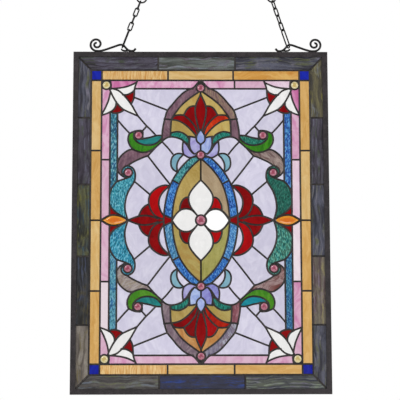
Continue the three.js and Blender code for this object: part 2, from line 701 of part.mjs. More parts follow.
// The panel stands upright, and hangs below the origin.
panel.rotation.x = Math.PI / 2;
panel.position.z = -(HALF_HEIGHT + HANG_HEIGHT);
const windowPanel = new THREE.Group();
windowPanel.add(panel);

export default windowPanel;
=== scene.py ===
# %% [markdown]
# # A hanging window panel of leaded glass
# The real panel is flat sheet glass, cut to a drawing and held by soldered seams, in a frame of metal
# channel on two chains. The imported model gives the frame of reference: millimetres there become metres
# here, the panel lies in the XZ plane and its front faces -Y.

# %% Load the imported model
import math
import random

import bmesh
import bpy
from mathutils import Matrix, Vector
from mathutils.geometry import delaunay_2d_cdt


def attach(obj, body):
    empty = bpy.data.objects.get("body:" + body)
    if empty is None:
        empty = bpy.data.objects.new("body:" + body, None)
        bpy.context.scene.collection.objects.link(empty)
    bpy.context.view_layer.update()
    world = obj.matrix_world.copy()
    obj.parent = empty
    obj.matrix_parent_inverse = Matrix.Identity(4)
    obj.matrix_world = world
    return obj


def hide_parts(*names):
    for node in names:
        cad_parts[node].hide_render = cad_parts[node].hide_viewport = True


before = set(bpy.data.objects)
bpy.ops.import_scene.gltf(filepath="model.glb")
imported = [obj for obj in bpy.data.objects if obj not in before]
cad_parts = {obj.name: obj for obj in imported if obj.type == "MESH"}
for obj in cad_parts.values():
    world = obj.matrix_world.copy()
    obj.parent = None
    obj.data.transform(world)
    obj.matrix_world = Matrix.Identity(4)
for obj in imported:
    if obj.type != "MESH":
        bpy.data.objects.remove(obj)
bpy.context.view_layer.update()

# %% [markdown]
# ## Sizes
# All sizes are in millimetres, as on a glazier's drawing. The panel is drawn flat, about its own
# centre, with u to the right, v up and w towards the viewer. One matrix then stands it up.

# %% Sizes of the panel
MM = 0.001
HALF_WIDTH = 228.5
HALF_HEIGHT = 305.0
RAIL_FACE = 9.5
RAIL_DEPTH = 8.0
SIGHT_U = HALF_WIDTH - RAIL_FACE
SIGHT_V = HALF_HEIGHT - RAIL_FACE
GRIP = 6.8
GLASS = 3.0
LEAD = 3.2
BORDER_LINE_U = 196.0
BORDER_LINE_V = 271.2
PINK_LINE_U = 177.2
PINK_LINE_V = 252.7
STRIP_WIDTH = 15.4
STRIP_LINE = PINK_LINE_U - STRIP_WIDTH
HANG_HEIGHT = 101.0
STAND = Matrix.Translation((0, 0, -(HALF_HEIGHT + HANG_HEIGHT) * MM)) @ Matrix.Rotation(math.pi / 2, 4, "X")
print("panel", 2 * HALF_WIDTH, "by", 2 * HALF_HEIGHT, "mm")

# %% [markdown]
# ## Helpers
# A node is made in one line: its settings, then what goes into its sockets, which is a value or a wire
# from another node. Colours are written as they look on the screen, and turned into linear light here.

# %% Helpers for nodes and meshes
def linear(colour, share=1.0):
    """An sRGB colour of 0 to 255, or a share of it, as the linear values that nodes use."""
    out = []
    for c in colour:
        c = c * share / 255
        out.append(c / 12.92 if c <= 0.04045 else ((c + 0.055) / 1.055) ** 2.4)
    return (*out, 1)


def fill(tree, sockets, values):
    """Values, or wires from other sockets, into sockets named or numbered."""
    for key, value in values.items():
        if hasattr(value, "links"):
            tree.links.new(value, sockets[key])
        else:
            sockets[key].default_value = value


def node(tree, kind, values=None, **settings):
    """The outputs of a new node."""
    made = tree.nodes.new(kind)
    for name, value in settings.items():
        setattr(made, name, value)
    fill(tree, made.inputs, values or {})
    return made.outputs


def mixed(tree, factor, first, second):
    """A colour between two others."""
    return node(tree, "ShaderNodeMix", {0: factor, 6: first, 7: second}, data_type="RGBA")[2]


def maths(tree, operation, *values):
    return node(tree, "ShaderNodeMath", dict(enumerate(values)), operation=operation)[0]


def vector(tree, operation, *values):
    return node(tree, "ShaderNodeVectorMath", dict(enumerate(values)), operation=operation)[0]


def scaled(tree, value, scale):
    return node(tree, "ShaderNodeVectorMath", {0: value, "Scale": scale}, operation="SCALE")[0]


def xyz(tree, x, y, z):
    return node(tree, "ShaderNodeCombineXYZ", {"X": x, "Y": y, "Z": z})[0]


def noise(tree, place, scale, detail, roughness=0.5):
    values = {"Vector": place, "Scale": scale, "Detail": detail, "Roughness": roughness}
    return node(tree, "ShaderNodeTexNoise", values)


def ranged(tree, value, low, high, to_low=0.0, to_high=1.0):
    values = {"Value": value, "From Min": low, "From Max": high, "To Min": to_low, "To Max": to_high}
    return node(tree, "ShaderNodeMapRange", values, interpolation_type="SMOOTHSTEP")[0]


def bumped(tree, height, strength, depth):
    """A normal from a height, with its depth in millimetres."""
    return node(tree, "ShaderNodeBump", {"Strength": strength, "Distance": depth * MM, "Height": height})[0]


def new_material(name):
    """A material, its node tree and the inputs of its Principled shader."""
    material = bpy.data.materials.new(name)
    material.use_nodes = True
    return material, material.node_tree, material.node_tree.nodes["Principled BSDF"].inputs


def new_mesh(name, verts, polys):
    mesh = bpy.data.meshes.new(name)
    mesh.from_pydata(verts, [], polys)
    return mesh


def point_values(mesh, name, kind, field, values):
    """An attribute with values for every point of the mesh."""
    mesh.attributes.new(name, kind, "POINT").data.foreach_set(field, values)


def joined(name, meshes):
    """One mesh of several."""
    shell = bmesh.new()
    for mesh in meshes:
        shell.from_mesh(mesh)
    whole = bpy.data.meshes.new(name)
    shell.to_mesh(whole)
    shell.free()
    return whole


def in_scene(thing):
    bpy.context.scene.collection.objects.link(thing)
    return thing


print("helpers ready")

# %% [markdown]
# ## Camera
# The photographer stood about 2.2 m off, a little below the middle, so the frame's top edge is the
# narrower one. Place, turn and focal length come from the frame's corners and edges.

# %% Camera
camera_data = bpy.data.cameras.new("camera")
camera_data.sensor_width = 36
camera_data.lens = 112.46
camera = in_scene(bpy.data.objects.new("camera", camera_data))
yaw, pitch, roll = 0.01316, 0.1275, -0.0018
level = Matrix.Rotation(-yaw, 3, "Z") @ Matrix.Rotation(math.pi / 2 + pitch, 3, "X")
camera.rotation_euler = (level @ Matrix.Rotation(roll, 3, "Z")).to_euler()
camera.location = (-0.0304, -2.2006, -0.6518)
bpy.context.scene.camera = camera
print("camera", tuple(camera.location))

# %% [markdown]
# ## Floor and light
# The panel hangs in front of white. The world is white only where the camera looks at it, and dim for
# everything else, because a white room in front would lay a grey veil on every dark glass. Two large
# soft lights stand to the sides, where flat glass doesn't mirror them into the lens.

# %% Floor, lights and world
bpy.context.scene.view_settings.view_transform = "Standard"
LIGHTS_AIM = Vector((0, 0, -0.4))
WHITE, PALE = (1, 1, 1, 1), (0.86, 0.86, 0.85, 1)
DIM_STRENGTH = 0.36


def area_light(name, place, size, watts):
    light = bpy.data.lights.new(name, "AREA")
    light.size = size
    light.energy = watts
    lamp = in_scene(bpy.data.objects.new(name, light))
    lamp.location = place
    lamp.rotation_euler = (LIGHTS_AIM - Vector(place)).to_track_quat("-Z", "Y").to_euler()


area_light("key", (-1.5, -1.9, 0.7), 1.3, 29)
area_light("fill", (1.7, -1.8, 0.1), 1.5, 20)
area_light("low", (0.2, -1.6, -1.15), 0.8, 5)
area_light("rear", (-0.6, 1.9, 0.8), 1.4, 40)

world = bpy.data.worlds.new("white room")
bpy.context.scene.world = world
world.use_nodes = True
room = world.node_tree
seen = node(room, "ShaderNodeBackground", {"Color": WHITE, "Strength": 1.0})[0]
fill(room, room.nodes["Background"].inputs, {"Color": WHITE, "Strength": DIM_STRENGTH})
dim = room.nodes["Background"].outputs[0]
camera_ray = node(room, "ShaderNodeLightPath")["Is Camera Ray"]
chosen = node(room, "ShaderNodeMixShader", {0: camera_ray, 1: dim, 2: seen})[0]
fill(room, room.nodes["World Output"].inputs, {"Surface": chosen})

FLOOR_Z, FLOOR_HALF = -1.3, 3
around = ((-1, -1), (1, -1), (1, 1), (-1, 1))
floor_corners = [(x * FLOOR_HALF, y * FLOOR_HALF, FLOOR_Z) for x, y in around]
floor_mesh = new_mesh("floor", floor_corners, [(0, 1, 2, 3)])
floor = in_scene(bpy.data.objects.new("floor", floor_mesh))
pale, pale_tree, pale_shader = new_material("pale floor")
fill(pale_tree, pale_shader, {"Base Color": PALE, "Roughness": 0.8})
floor_mesh.materials.append(pale)

# %% [markdown]
# ## The drawing
# Every seam is a smooth line through a few points. The ornament is the same in all four quarters, so
# only the upper right quarter is drawn, and the others are mirrored from it. Lines come first, because
# both the solder and the glass follow from them.

# %% Seams of the lilies and of the background
LILY_LINES = [
    [(113, 252.7), (116.2, 245), (118.5, 237), (119, 228), (120.3, 218), (124.5, 209.3)],
    [(115.2, 249), (120, 246.3), (130, 242), (140, 239.5), (150, 238.2), (160.5, 237.4)],
    [(162, 252.7), (160.5, 244), (161, 236.5)],
    [(118.8, 235.3), (122.3, 231.2), (127.5, 228.2), (133, 226.3), (139.5, 226.5)],
    [(158, 237.6), (148, 234.3), (141, 228.8), (134.5, 222), (128.5, 214.5), (122.5, 206), (117.5, 197),
     (112, 187.5)],
    [(163, 236), (160.5, 230), (156.5, 222), (151.5, 213.5), (146, 206.5), (140, 200.8), (133, 196.8),
     (120, 191), (112, 187.5)],
    [(161.5, 232), (163.3, 223), (165.3, 215.5), (168.2, 208), (171.8, 200), (177.2, 190)],
    [(151.3, 213), (151.6, 207), (155, 200.5), (160.5, 195.6), (167.5, 192.3), (177.2, 188.8)],
    [(137, 198.7), (142, 195.3), (148.5, 193), (156, 193), (161.8, 195.2)],
]
BACKGROUND_LINES = [
    [(60.5, 198.5), (119, 221.5)],
    [(112, 187.5), (104, 178), (97, 170), (88, 161.2), (79.5, 152)],
    [(96.5, 169), (104, 160.5)],
    [(148.5, 180.5), (138, 168), (127, 156.3)],
    [(69, 141), (59, 130.3), (50, 119)],
    [(54.5, 64), (70, 83.5), (84.5, 102.5), (94.2, 115.3)],
    [(69, 141), (80.5, 130.5), (94.2, 115.3)],
    [(91, 46.5), (118, 69.5)],
]
print(len(LILY_LINES), "lily lines and", len(BACKGROUND_LINES), "background lines")

# %% Seams of the horseshoe band, the red flower and the buds
BAND_LINES = [
    [(1.5, 252.7), (12.5, 240), (21, 236), (30, 230.8), (40, 221.5), (50, 209.5), (59.5, 197.5),
     (64.3, 182), (67.6, 166), (69, 152), (69, 141)],
    [(3.5, 231.5), (10, 226.8), (20, 219.7), (30, 211.5), (38, 203), (44.5, 194), (49.5, 187), (52.5, 179),
     (53.6, 166), (54, 150)],
    [(14, 237.4), (118.3, 237.4)],
    [(52, 181), (65, 182.3)],
]
RED_FLOWER_LINES = [
    [(0, 232), (0, 227.5)],
    [(0, 227.5), (4, 219), (7.8, 210), (9.8, 201), (9.3, 190), (7.3, 179), (4.5, 168), (2.5, 160)],
    [(8.8, 205.5), (14, 205.7), (19.5, 204.2), (25, 199), (30.3, 189.3)],
    [(30.3, 189.3), (21.5, 182.3), (14, 174), (9, 166.5), (6.2, 158)],
    [(30.3, 189.3), (39, 189.5), (46.5, 188), (52.3, 182)],
    [(52.3, 181), (46, 180.5), (37, 177.8), (28.5, 172.6), (20.5, 165.8), (13.5, 158.3), (8, 151)],
]
BUD_LINES = [
    [(0, 163), (4.5, 157.3), (7.8, 149.5), (6.5, 141.5), (0, 136)],
    [(7.5, 147.8), (13, 149.5), (20.8, 150.5)],
    [(31, 140.5), (27, 138.2), (23, 132.7), (18.5, 125.3), (12, 119), (7, 120.5)],
    [(31.5, 141.5), (32.4, 133), (32.3, 126), (30.5, 118)],
    [(7.5, 114.5), (14.5, 112.8), (22, 112.7), (30.5, 118)],
    [(23, 134), (20.6, 138), (20.7, 144), (23, 149.3), (28.3, 154.7), (36.5, 158.6), (45, 158.9),
     (54, 156.5)],
    [(22.5, 135.5), (27.5, 139.8), (33, 144.2), (41, 147.8), (50, 149.6), (58, 149), (64.5, 145.6),
     (69, 141)],
    [(0, 136), (0, 124)],
    [(19.5, 150), (20.3, 142), (20, 134), (17.5, 126), (12, 119)],
]
CRESCENT_LINES = [
    [(30.5, 118), (38, 119.8), (45.5, 118.2), (50.8, 113), (53.1, 105), (52.5, 97), (49, 90.8), (42, 86.3)],
    [(30.5, 118), (37, 111.5), (41.2, 104), (42.6, 96), (41.5, 87)],
]
print(len(BAND_LINES + RED_FLOWER_LINES + BUD_LINES + CRESCENT_LINES), "lines of band, flower and buds")

# %% Seams of the medallion, its flower and the palmettes
ELLIPSE_LINES = [
    [(8, 116), (18, 111.3), (28, 102.5), (38, 91), (47, 77.5), (54, 63.5), (59, 49), (62.5, 33), (64.7, 18),
     (66, 0)],
    [(1, 110), (10, 102), (19, 93), (28, 81.8), (35.5, 70), (40.5, 59), (44.6, 46), (48, 31), (50, 16),
     (51, 0)],
    [(0, 72), (0, 110)],
    [(50.8, 3.5), (57, 5.6), (65.8, 9.7)],
    [(38.5, 65), (50.5, 71.5)],
]
WHITE_FLOWER_LINES = [
    [(0, 72), (6, 66), (11.5, 59.8), (17, 52.7), (20.7, 45.5), (21.7, 38), (20.4, 30), (17, 22.3),
     (12, 15.7), (5.5, 7.5)],
    [(5.5, 7.5), (14, 16.5), (20.5, 19.7), (28, 20.4), (35.5, 18.3), (41.8, 13.2), (47, 6.6), (51, 0)],
    [(21.5, 41), (26.5, 40.5), (31.3, 37.2), (34.6, 31.5), (36.7, 25.5), (37.3, 18)],
]
PALMETTE_LINES = [
    [(56, 60.5), (64, 53.7), (69.6, 47), (73.4, 39), (74.6, 30.5), (73.3, 22.5), (70.4, 15), (65.8, 8.5)],
    [(55.5, 61.5), (64, 62.6), (74, 59.8), (83, 54), (89.5, 46.5), (92.4, 37.5), (92, 28.8)],
    [(92, 28.8), (89.6, 21), (86, 14), (81, 8.5), (75, 4.7), (66, 2)],
    [(92, 28.8), (98, 26), (104, 20.3), (107.5, 14), (110, 7.8)],
    [(76, 2.8), (84, 6), (94, 8), (103, 8.3), (111, 7), (120, 4), (129, 0)],
]
MARQUISE_LINES = [
    [(129, 0), (134, 4.2), (141, 7.4), (150, 9.3), (158, 9.3), (165.5, 7.2), (172, 3.4), (177.2, 0)],
]
print(len(ELLIPSE_LINES + WHITE_FLOWER_LINES + PALMETTE_LINES + MARQUISE_LINES), "lines of the middle")

# %% Seams of the leaves, the scrolls and the straight strips
LEAF_LINES = [
    [(129, 0), (132, 9), (134.2, 19), (134.4, 28), (133, 38), (130, 48), (125.5, 57), (120.5, 64.8),
     (117.3, 72), (116.2, 80), (117.6, 88), (122, 94.3), (129.5, 98)],
    [(125, 78.3), (134, 74.5), (141.5, 72), (149, 69), (155, 62.3), (159.5, 54.5), (161.8, 45)],
    [(161.8, 28), (158.5, 22.3), (153, 16.5), (146.5, 11.7), (141, 8)],
]
SCROLL_LINES = [
    [(103.6, 146), (103.4, 153), (104, 160.5), (111, 161.3), (118, 160), (127, 156.3)],
    [(69, 152.5), (79.5, 152), (90, 149), (100, 147.1), (111, 145.6), (118.3, 146)],
    [(69, 149), (74, 142.3), (80.5, 137.5), (88.5, 135), (97.5, 134.8), (106, 136.7), (113, 140.4),
     (118, 146), (119.7, 152), (118, 160)],
    [(79.5, 131.5), (88, 125.8), (97, 122.3), (106, 121.8), (114, 124), (121.5, 128), (127, 135.5),
     (129.6, 143.5), (129, 151), (127, 156.3)],
    [(118.5, 126.5), (126, 126.6), (133, 123.2), (140, 117.5), (145.3, 110.5), (148.5, 101)],
    [(148.5, 89), (144, 83), (138.5, 78.7), (132, 75)],
    [(94.2, 115.3), (101, 113.2), (109, 109.7), (118, 105.4), (125.5, 101), (129.5, 98), (135, 96),
     (139, 92), (140.6, 86.5), (138, 79.5)],
]
STRIP_LINES = [
    [(STRIP_LINE, 195.2), (STRIP_LINE, 8.5)],
    [(148.5, 193), (148.5, 69.2)],
    [(STRIP_LINE, 108.5), (PINK_LINE_U, 108.5)],
    [(58.5, PINK_LINE_V), (58.5, BORDER_LINE_V)],
    [(PINK_LINE_U, 125), (BORDER_LINE_U, 125)],
    [(PINK_LINE_U, 0), (BORDER_LINE_U, 0)],
    [(0, PINK_LINE_V), (BORDER_LINE_U, PINK_LINE_V)],
    [(PINK_LINE_U, 0), (PINK_LINE_U, BORDER_LINE_V)],
    [(0, BORDER_LINE_V), (BORDER_LINE_U, BORDER_LINE_V)],
    [(BORDER_LINE_U, 0), (BORDER_LINE_U, BORDER_LINE_V)],
    [(BORDER_LINE_U, BORDER_LINE_V), (HALF_WIDTH, HALF_HEIGHT)],
    [(BORDER_LINE_U, 64), (HALF_WIDTH, 64)],
    [(BORDER_LINE_U, 184.5), (HALF_WIDTH, 184.5)],
]
print(len(LEAF_LINES + SCROLL_LINES), "lines of leaves and scrolls and", len(STRIP_LINES), "straight ones")

# %% Joints that only one side has, and the rings of the round jewels
SINGLE_LINES = [
    [(61, 237.4), (61, PINK_LINE_V)],
    [(-76, BORDER_LINE_V), (-76, HALF_HEIGHT)],
    [(62, BORDER_LINE_V), (62, HALF_HEIGHT)],
    [(-73, -BORDER_LINE_V), (-73, -HALF_HEIGHT)],
    [(77, -BORDER_LINE_V), (77, -HALF_HEIGHT)],
]
ROSE_RING = 7.4
ROUND_JEWELS = [(111, 152.7, ROSE_RING), (129, 85.4, ROSE_RING), (0, 239, ROSE_RING), (0, 117, ROSE_RING)]
CORNER_JEWEL = (169, 244, 7.8)
CENTRE_JEWEL = (0, 0, 9.2)
QUARTERS = {"tr": (1, 1), "tl": (-1, 1), "br": (1, -1), "bl": (-1, -1)}
print(len(SINGLE_LINES), "single joints and", len(ROUND_JEWELS), "round jewels in a quarter")

# %% [markdown]
# A Catmull-Rom spline goes through its points, as a bent strip of card does on a drawing board. The
# step is short, so the curves show no corners.

# %% Smooth lines
STEP = 3.0


def smooth(points, step=STEP):
    points = [Vector(p) for p in points]
    if len(points) == 2:
        count = max(1, round((points[1] - points[0]).length / (2 * step)))
        return [points[0].lerp(points[1], i / count) for i in range(count + 1)]
    line = [points[0]]
    for i in range(len(points) - 1):
        p0, p1 = points[max(i - 1, 0)], points[i]
        p2, p3 = points[i + 1], points[min(i + 2, len(points) - 1)]
        a, b = (p2 - p0) * 0.5, (p3 - p1) * 0.5
        count = max(1, round((p2 - p1).length / step))
        for k in range(1, count + 1):
            t = k / count
            line.append(
                (2 * p1 - 2 * p2 + a + b) * t**3 + (-3 * p1 + 3 * p2 - 2 * a - b) * t**2 + a * t + p1
            )
    return line


def in_quarter(line, quarter):
    across, up = QUARTERS[quarter]
    return [Vector((p.x * across, p.y * up)) for p in line]


ORNAMENT_LINES = (
    LILY_LINES + BACKGROUND_LINES + BAND_LINES + RED_FLOWER_LINES + BUD_LINES + CRESCENT_LINES
    + ELLIPSE_LINES + WHITE_FLOWER_LINES + PALMETTE_LINES + MARQUISE_LINES + LEAF_LINES + SCROLL_LINES
)
ornament = [in_quarter(smooth(line), q) for line in ORNAMENT_LINES for q in QUARTERS]
straights = [in_quarter(smooth(line), q) for line in STRIP_LINES for q in QUARTERS]
straights += [smooth(line) for line in SINGLE_LINES]
rings = [CENTRE_JEWEL]
for u, v, r in ROUND_JEWELS + [CORNER_JEWEL]:
    for q, (across, up) in QUARTERS.items():
        if u or across > 0:
            rings.append((u * across, v * up, r))
length = sum((b - a).length for line in ornament + straights for a, b in zip(line, line[1:]))
print(len(ornament) + len(straights), "seams,", round(length / 1000, 1), "m, and", len(rings), "rings")

# %% [markdown]
# ## From seams to glass
# A glazier gets the glass shapes by cutting the drawing along its lines. The same is done here: each
# seam is laid down as a row of flat quads of its own width, a Delaunay triangulation splits the whole
# panel along their edges, and the triangles that no quad covers are the glass. Those that touch each
# other make one piece. Drawing 200 outlines by hand would give the same, with gaps and overlaps.

# %% Cut the panel along its seams
SEAM_PAST = 0.4
SAME_POINT = 1e-4


def seam_quads(line, width, closed=False):
    """The quads of one seam, run on a little past both ends."""
    left, right = [], []
    for i, p in enumerate(line):
        before = line[i - 1] if i else (line[-2] if closed else p)
        after = line[i + 1] if i + 1 < len(line) else (line[1] if closed else p)
        along = (after - before).normalized()
        if not closed and i in (0, len(line) - 1):
            p = p + along * (width * (SEAM_PAST if i else -SEAM_PAST))
        across = Vector((-along.y, along.x)) * (width / 2)
        left.append(p + across)
        right.append(p - across)
    return [(right[i], right[i + 1], left[i + 1], left[i]) for i in range(len(line) - 1)]


def circle(u, v, radius, count):
    angles = [2 * math.pi * i / count for i in range(count + 1)]
    return [Vector((u + radius * math.cos(a), v + radius * math.sin(a))) for a in angles]


CUT_SIDES = 28
quads = []
for line in ornament + straights:
    quads += seam_quads(line, LEAD)
for u, v, r in rings:
    quads += seam_quads(circle(u, v, r, CUT_SIDES), LEAD, closed=True)
OUTER_U, OUTER_V = SIGHT_U + GRIP, SIGHT_V + GRIP
EDGE = 4
far_u, far_v = OUTER_U + EDGE / 2, OUTER_V + EDGE / 2
for side in (-1, 1):
    for a, b in (
        ((-OUTER_U - EDGE, side * far_v), (OUTER_U + EDGE, side * far_v)),
        ((side * far_u, -OUTER_V - EDGE), (side * far_u, OUTER_V + EDGE)),
    ):
        quads += seam_quads([Vector(a), Vector(b)], EDGE)
corners, faces = [], []
for quad in quads:
    faces.append(list(range(len(corners), len(corners) + 4)))
    corners += quad
places, _, triangles, _, _, sources = delaunay_2d_cdt(corners, [], faces, 0, SAME_POINT, True)
print(len(quads), "quads,", len(triangles), "triangles")


# %% Gather the triangles of each glass piece
def area_of(cell):
    total = 0.0
    for t in cell:
        a, b, c = (places[i] for i in triangles[t])
        total += abs((b - a).cross(c - a)) / 2
    return total


open_faces = {i for i, source in enumerate(sources) if not source}
beside = {}
for i in open_faces:
    tri = triangles[i]
    for k in range(3):
        beside.setdefault(frozenset((tri[k], tri[(k + 1) % 3])), []).append(i)
cells, waiting = [], set(open_faces)
while waiting:
    start = waiting.pop()
    cell, edge = [start], [start]
    while edge:
        tri = triangles[edge.pop()]
        for k in range(3):
            for other in beside[frozenset((tri[k], tri[(k + 1) % 3]))]:
                if other in waiting:
                    waiting.discard(other)
                    cell.append(other)
                    edge.append(other)
    middle = sum((places[i] for t in cell for i in triangles[t]), Vector((0, 0))) / (3 * len(cell))
    if abs(middle.x) < OUTER_U and abs(middle.y) < OUTER_V:
        cells.append(cell)
SMALLEST = 22.0
filled = [cell for cell in cells if area_of(cell) < SMALLEST]
cells = [cell for cell in cells if area_of(cell) >= SMALLEST]
print(len(cells), "glass pieces and", len(filled), "places that solder fills")


def cell_at(u, v):
    p = Vector((u, v))
    for number, cell in enumerate(cells):
        for t in cell:
            a, b, c = (places[i] for i in triangles[t])
            signs = [(b - a).cross(p - a), (c - b).cross(p - b), (a - c).cross(p - c)]
            if min(signs) >= 0 or max(signs) <= 0:
                return number
    return None


# %% [markdown]
# ## Finishes
# Opalescent sheet is rolled from two or three melts, so it has wisps along the sheet and clouds of
# another tone. One node group gives both, with fine veins, a grain and a height for the rolled surface.
# It reads Object coordinates, shifted by the attribute "cut" and turned by the attribute "turn", because
# each piece is cut from another place of the sheet, and its wisps run another way. From "cut" also comes
# a tone, which makes each piece a little lighter or darker than its neighbour.

# %% Node group: rolled sheet glass
SHEET_INPUTS = {"Length": 60.0, "Width": 9.0, "Turn": 0.0, "Bend": 0.5, "Ripple": 6.0}
SHEET_SPREAD = (700, 300, 900)
BEND_REACH = 60.0
VEIN_STRETCH, VEIN_SHIFT = (1.7, 1.7, 0.7), (31, 17, 53)
RIPPLE_STRETCH = 3.2


def sheet_group():
    group = bpy.data.node_groups.new("rolled sheet", "ShaderNodeTree")
    face = group.interface
    for name, value in SHEET_INPUTS.items():
        face.new_socket(name, in_out="INPUT", socket_type="NodeSocketFloat").default_value = value
    for name in ("Wisps", "Clouds", "Height", "Grain", "Veins", "Tone"):
        face.new_socket(name, in_out="OUTPUT", socket_type="NodeSocketFloat")
    given = node(group, "NodeGroupInput")
    place = scaled(group, node(group, "ShaderNodeTexCoord")["Object"], 1 / MM)
    cut = node(group, "ShaderNodeAttribute", attribute_name="cut")["Vector"]
    away = vector(group, "MULTIPLY_ADD", cut, SHEET_SPREAD, place)
    own = node(group, "ShaderNodeAttribute", attribute_name="turn")["Fac"]
    turn = {"Vector": away, "Axis": (0, 1, 0), "Angle": maths(group, "ADD", own, given["Turn"])}
    turned = node(group, "ShaderNodeVectorRotate", turn, rotation_type="AXIS_ANGLE")[0]
    slow = noise(group, turned, 0.02, 2)["Color"]
    reach = maths(group, "MULTIPLY", given["Bend"], BEND_REACH)
    bent = vector(group, "ADD", turned, scaled(group, slow, reach))
    size = xyz(group, given["Width"], given["Width"], given["Length"])
    drawn = vector(group, "DIVIDE", bent, size)
    strands = vector(group, "MULTIPLY_ADD", drawn, VEIN_STRETCH, VEIN_SHIFT)
    long_way = maths(group, "MULTIPLY", given["Ripple"], RIPPLE_STRETCH)
    pressed = vector(group, "DIVIDE", turned, xyz(group, given["Ripple"], given["Ripple"], long_way))
    fill(group, group.nodes.new("NodeGroupOutput").inputs, {
        "Wisps": ranged(group, noise(group, drawn, 1, 3.5, 0.55)["Fac"], 0.33, 0.67),
        "Veins": ranged(group, noise(group, strands, 1, 2)["Fac"], 0.5, 0.64),
        "Clouds": ranged(group, noise(group, bent, 0.045, 2)["Fac"], 0.35, 0.65),
        "Grain": ranged(group, noise(group, turned, 0.5, 3)["Fac"], 0.3, 0.7),
        "Height": noise(group, pressed, 1, 2)["Fac"],
        "Tone": node(group, "ShaderNodeSeparateXYZ", {0: cut})["X"],
    })
    return group


ROLLED = sheet_group()
print("group", ROLLED.name)


# %% Glass from the group
PIECE_TONE, TONE_DARK = 0.18, 0.74
VEIN_SHARE = 0.8
SPECK_DARK = 0.55
# Painted shade in the hollows and painted highlight on the crests of pressed glass, both taken from the
# sheet's height.
HOLLOW_SHADE, HOLLOW_SHADE_SHARE, HOLLOW_SHADE_DARK = (0.5, 0.38), 0.75, 0.5
CREST_HIGHLIGHT, CREST_HIGHLIGHT_SHARE = (0.53, 0.64), 0.85
CLOUDS_ROUGHER = 0.12


def sheet_glass(name, body, wisp, cloud, glint=None, veins=None, share=0.7, cloudy=0.6, speck=0.0,
                length=60, width=9, turn=0.0, bend=0.5, ripple=7.0, press=0.25, press_depth=0.6,
                rough=0.2, gloss=0.3, tone=PIECE_TONE):
    """A glass of a body colour with wisps and clouds, with veins or specks if given. Where a glint colour is
    given, it also gets a painted highlight on its crests and painted shade in its hollows.
    """
    material, tree, shader = new_material(name)
    sizes = {"Length": length, "Width": width, "Turn": turn, "Bend": bend, "Ripple": ripple}
    sheet = node(tree, "ShaderNodeGroup", sizes, node_tree=ROLLED)
    clouds = maths(tree, "MULTIPLY", sheet["Clouds"], cloudy)
    colour = mixed(tree, clouds, linear(body), linear(cloud))
    colour = mixed(tree, maths(tree, "MULTIPLY", sheet["Wisps"], share), colour, linear(wisp))
    if veins:
        vein = mixed(tree, sheet["Clouds"], linear(veins[0]), linear(veins[1]))
        colour = mixed(tree, maths(tree, "MULTIPLY", sheet["Veins"], VEIN_SHARE), colour, vein)
    if speck:
        grain = maths(tree, "MULTIPLY", sheet["Grain"], speck)
        colour = mixed(tree, grain, colour, linear(body, SPECK_DARK))
    # Where a glint colour is given: painted shade darkens the hollows, and a painted highlight in the glint
    # colour lights the crests.
    if glint:
        hollow_shade = ranged(tree, sheet["Height"], *HOLLOW_SHADE, 0.0, HOLLOW_SHADE_SHARE)
        colour = mixed(tree, hollow_shade, colour, linear(body, HOLLOW_SHADE_DARK))
        crest_highlight = ranged(tree, sheet["Height"], *CREST_HIGHLIGHT, 0.0, CREST_HIGHLIGHT_SHARE)
        colour = mixed(tree, crest_highlight, colour, linear(glint))
    shade = maths(tree, "MULTIPLY", sheet["Tone"], tone)
    fill(tree, shader, {
        "Base Color": mixed(tree, shade, colour, linear(body, TONE_DARK)),
        "Roughness": ranged(tree, sheet["Clouds"], 0, 1, rough, rough + CLOUDS_ROUGHER),
        "Specular IOR Level": gloss,
        "Normal": bumped(tree, sheet["Height"], press, press_depth),
    })
    return material


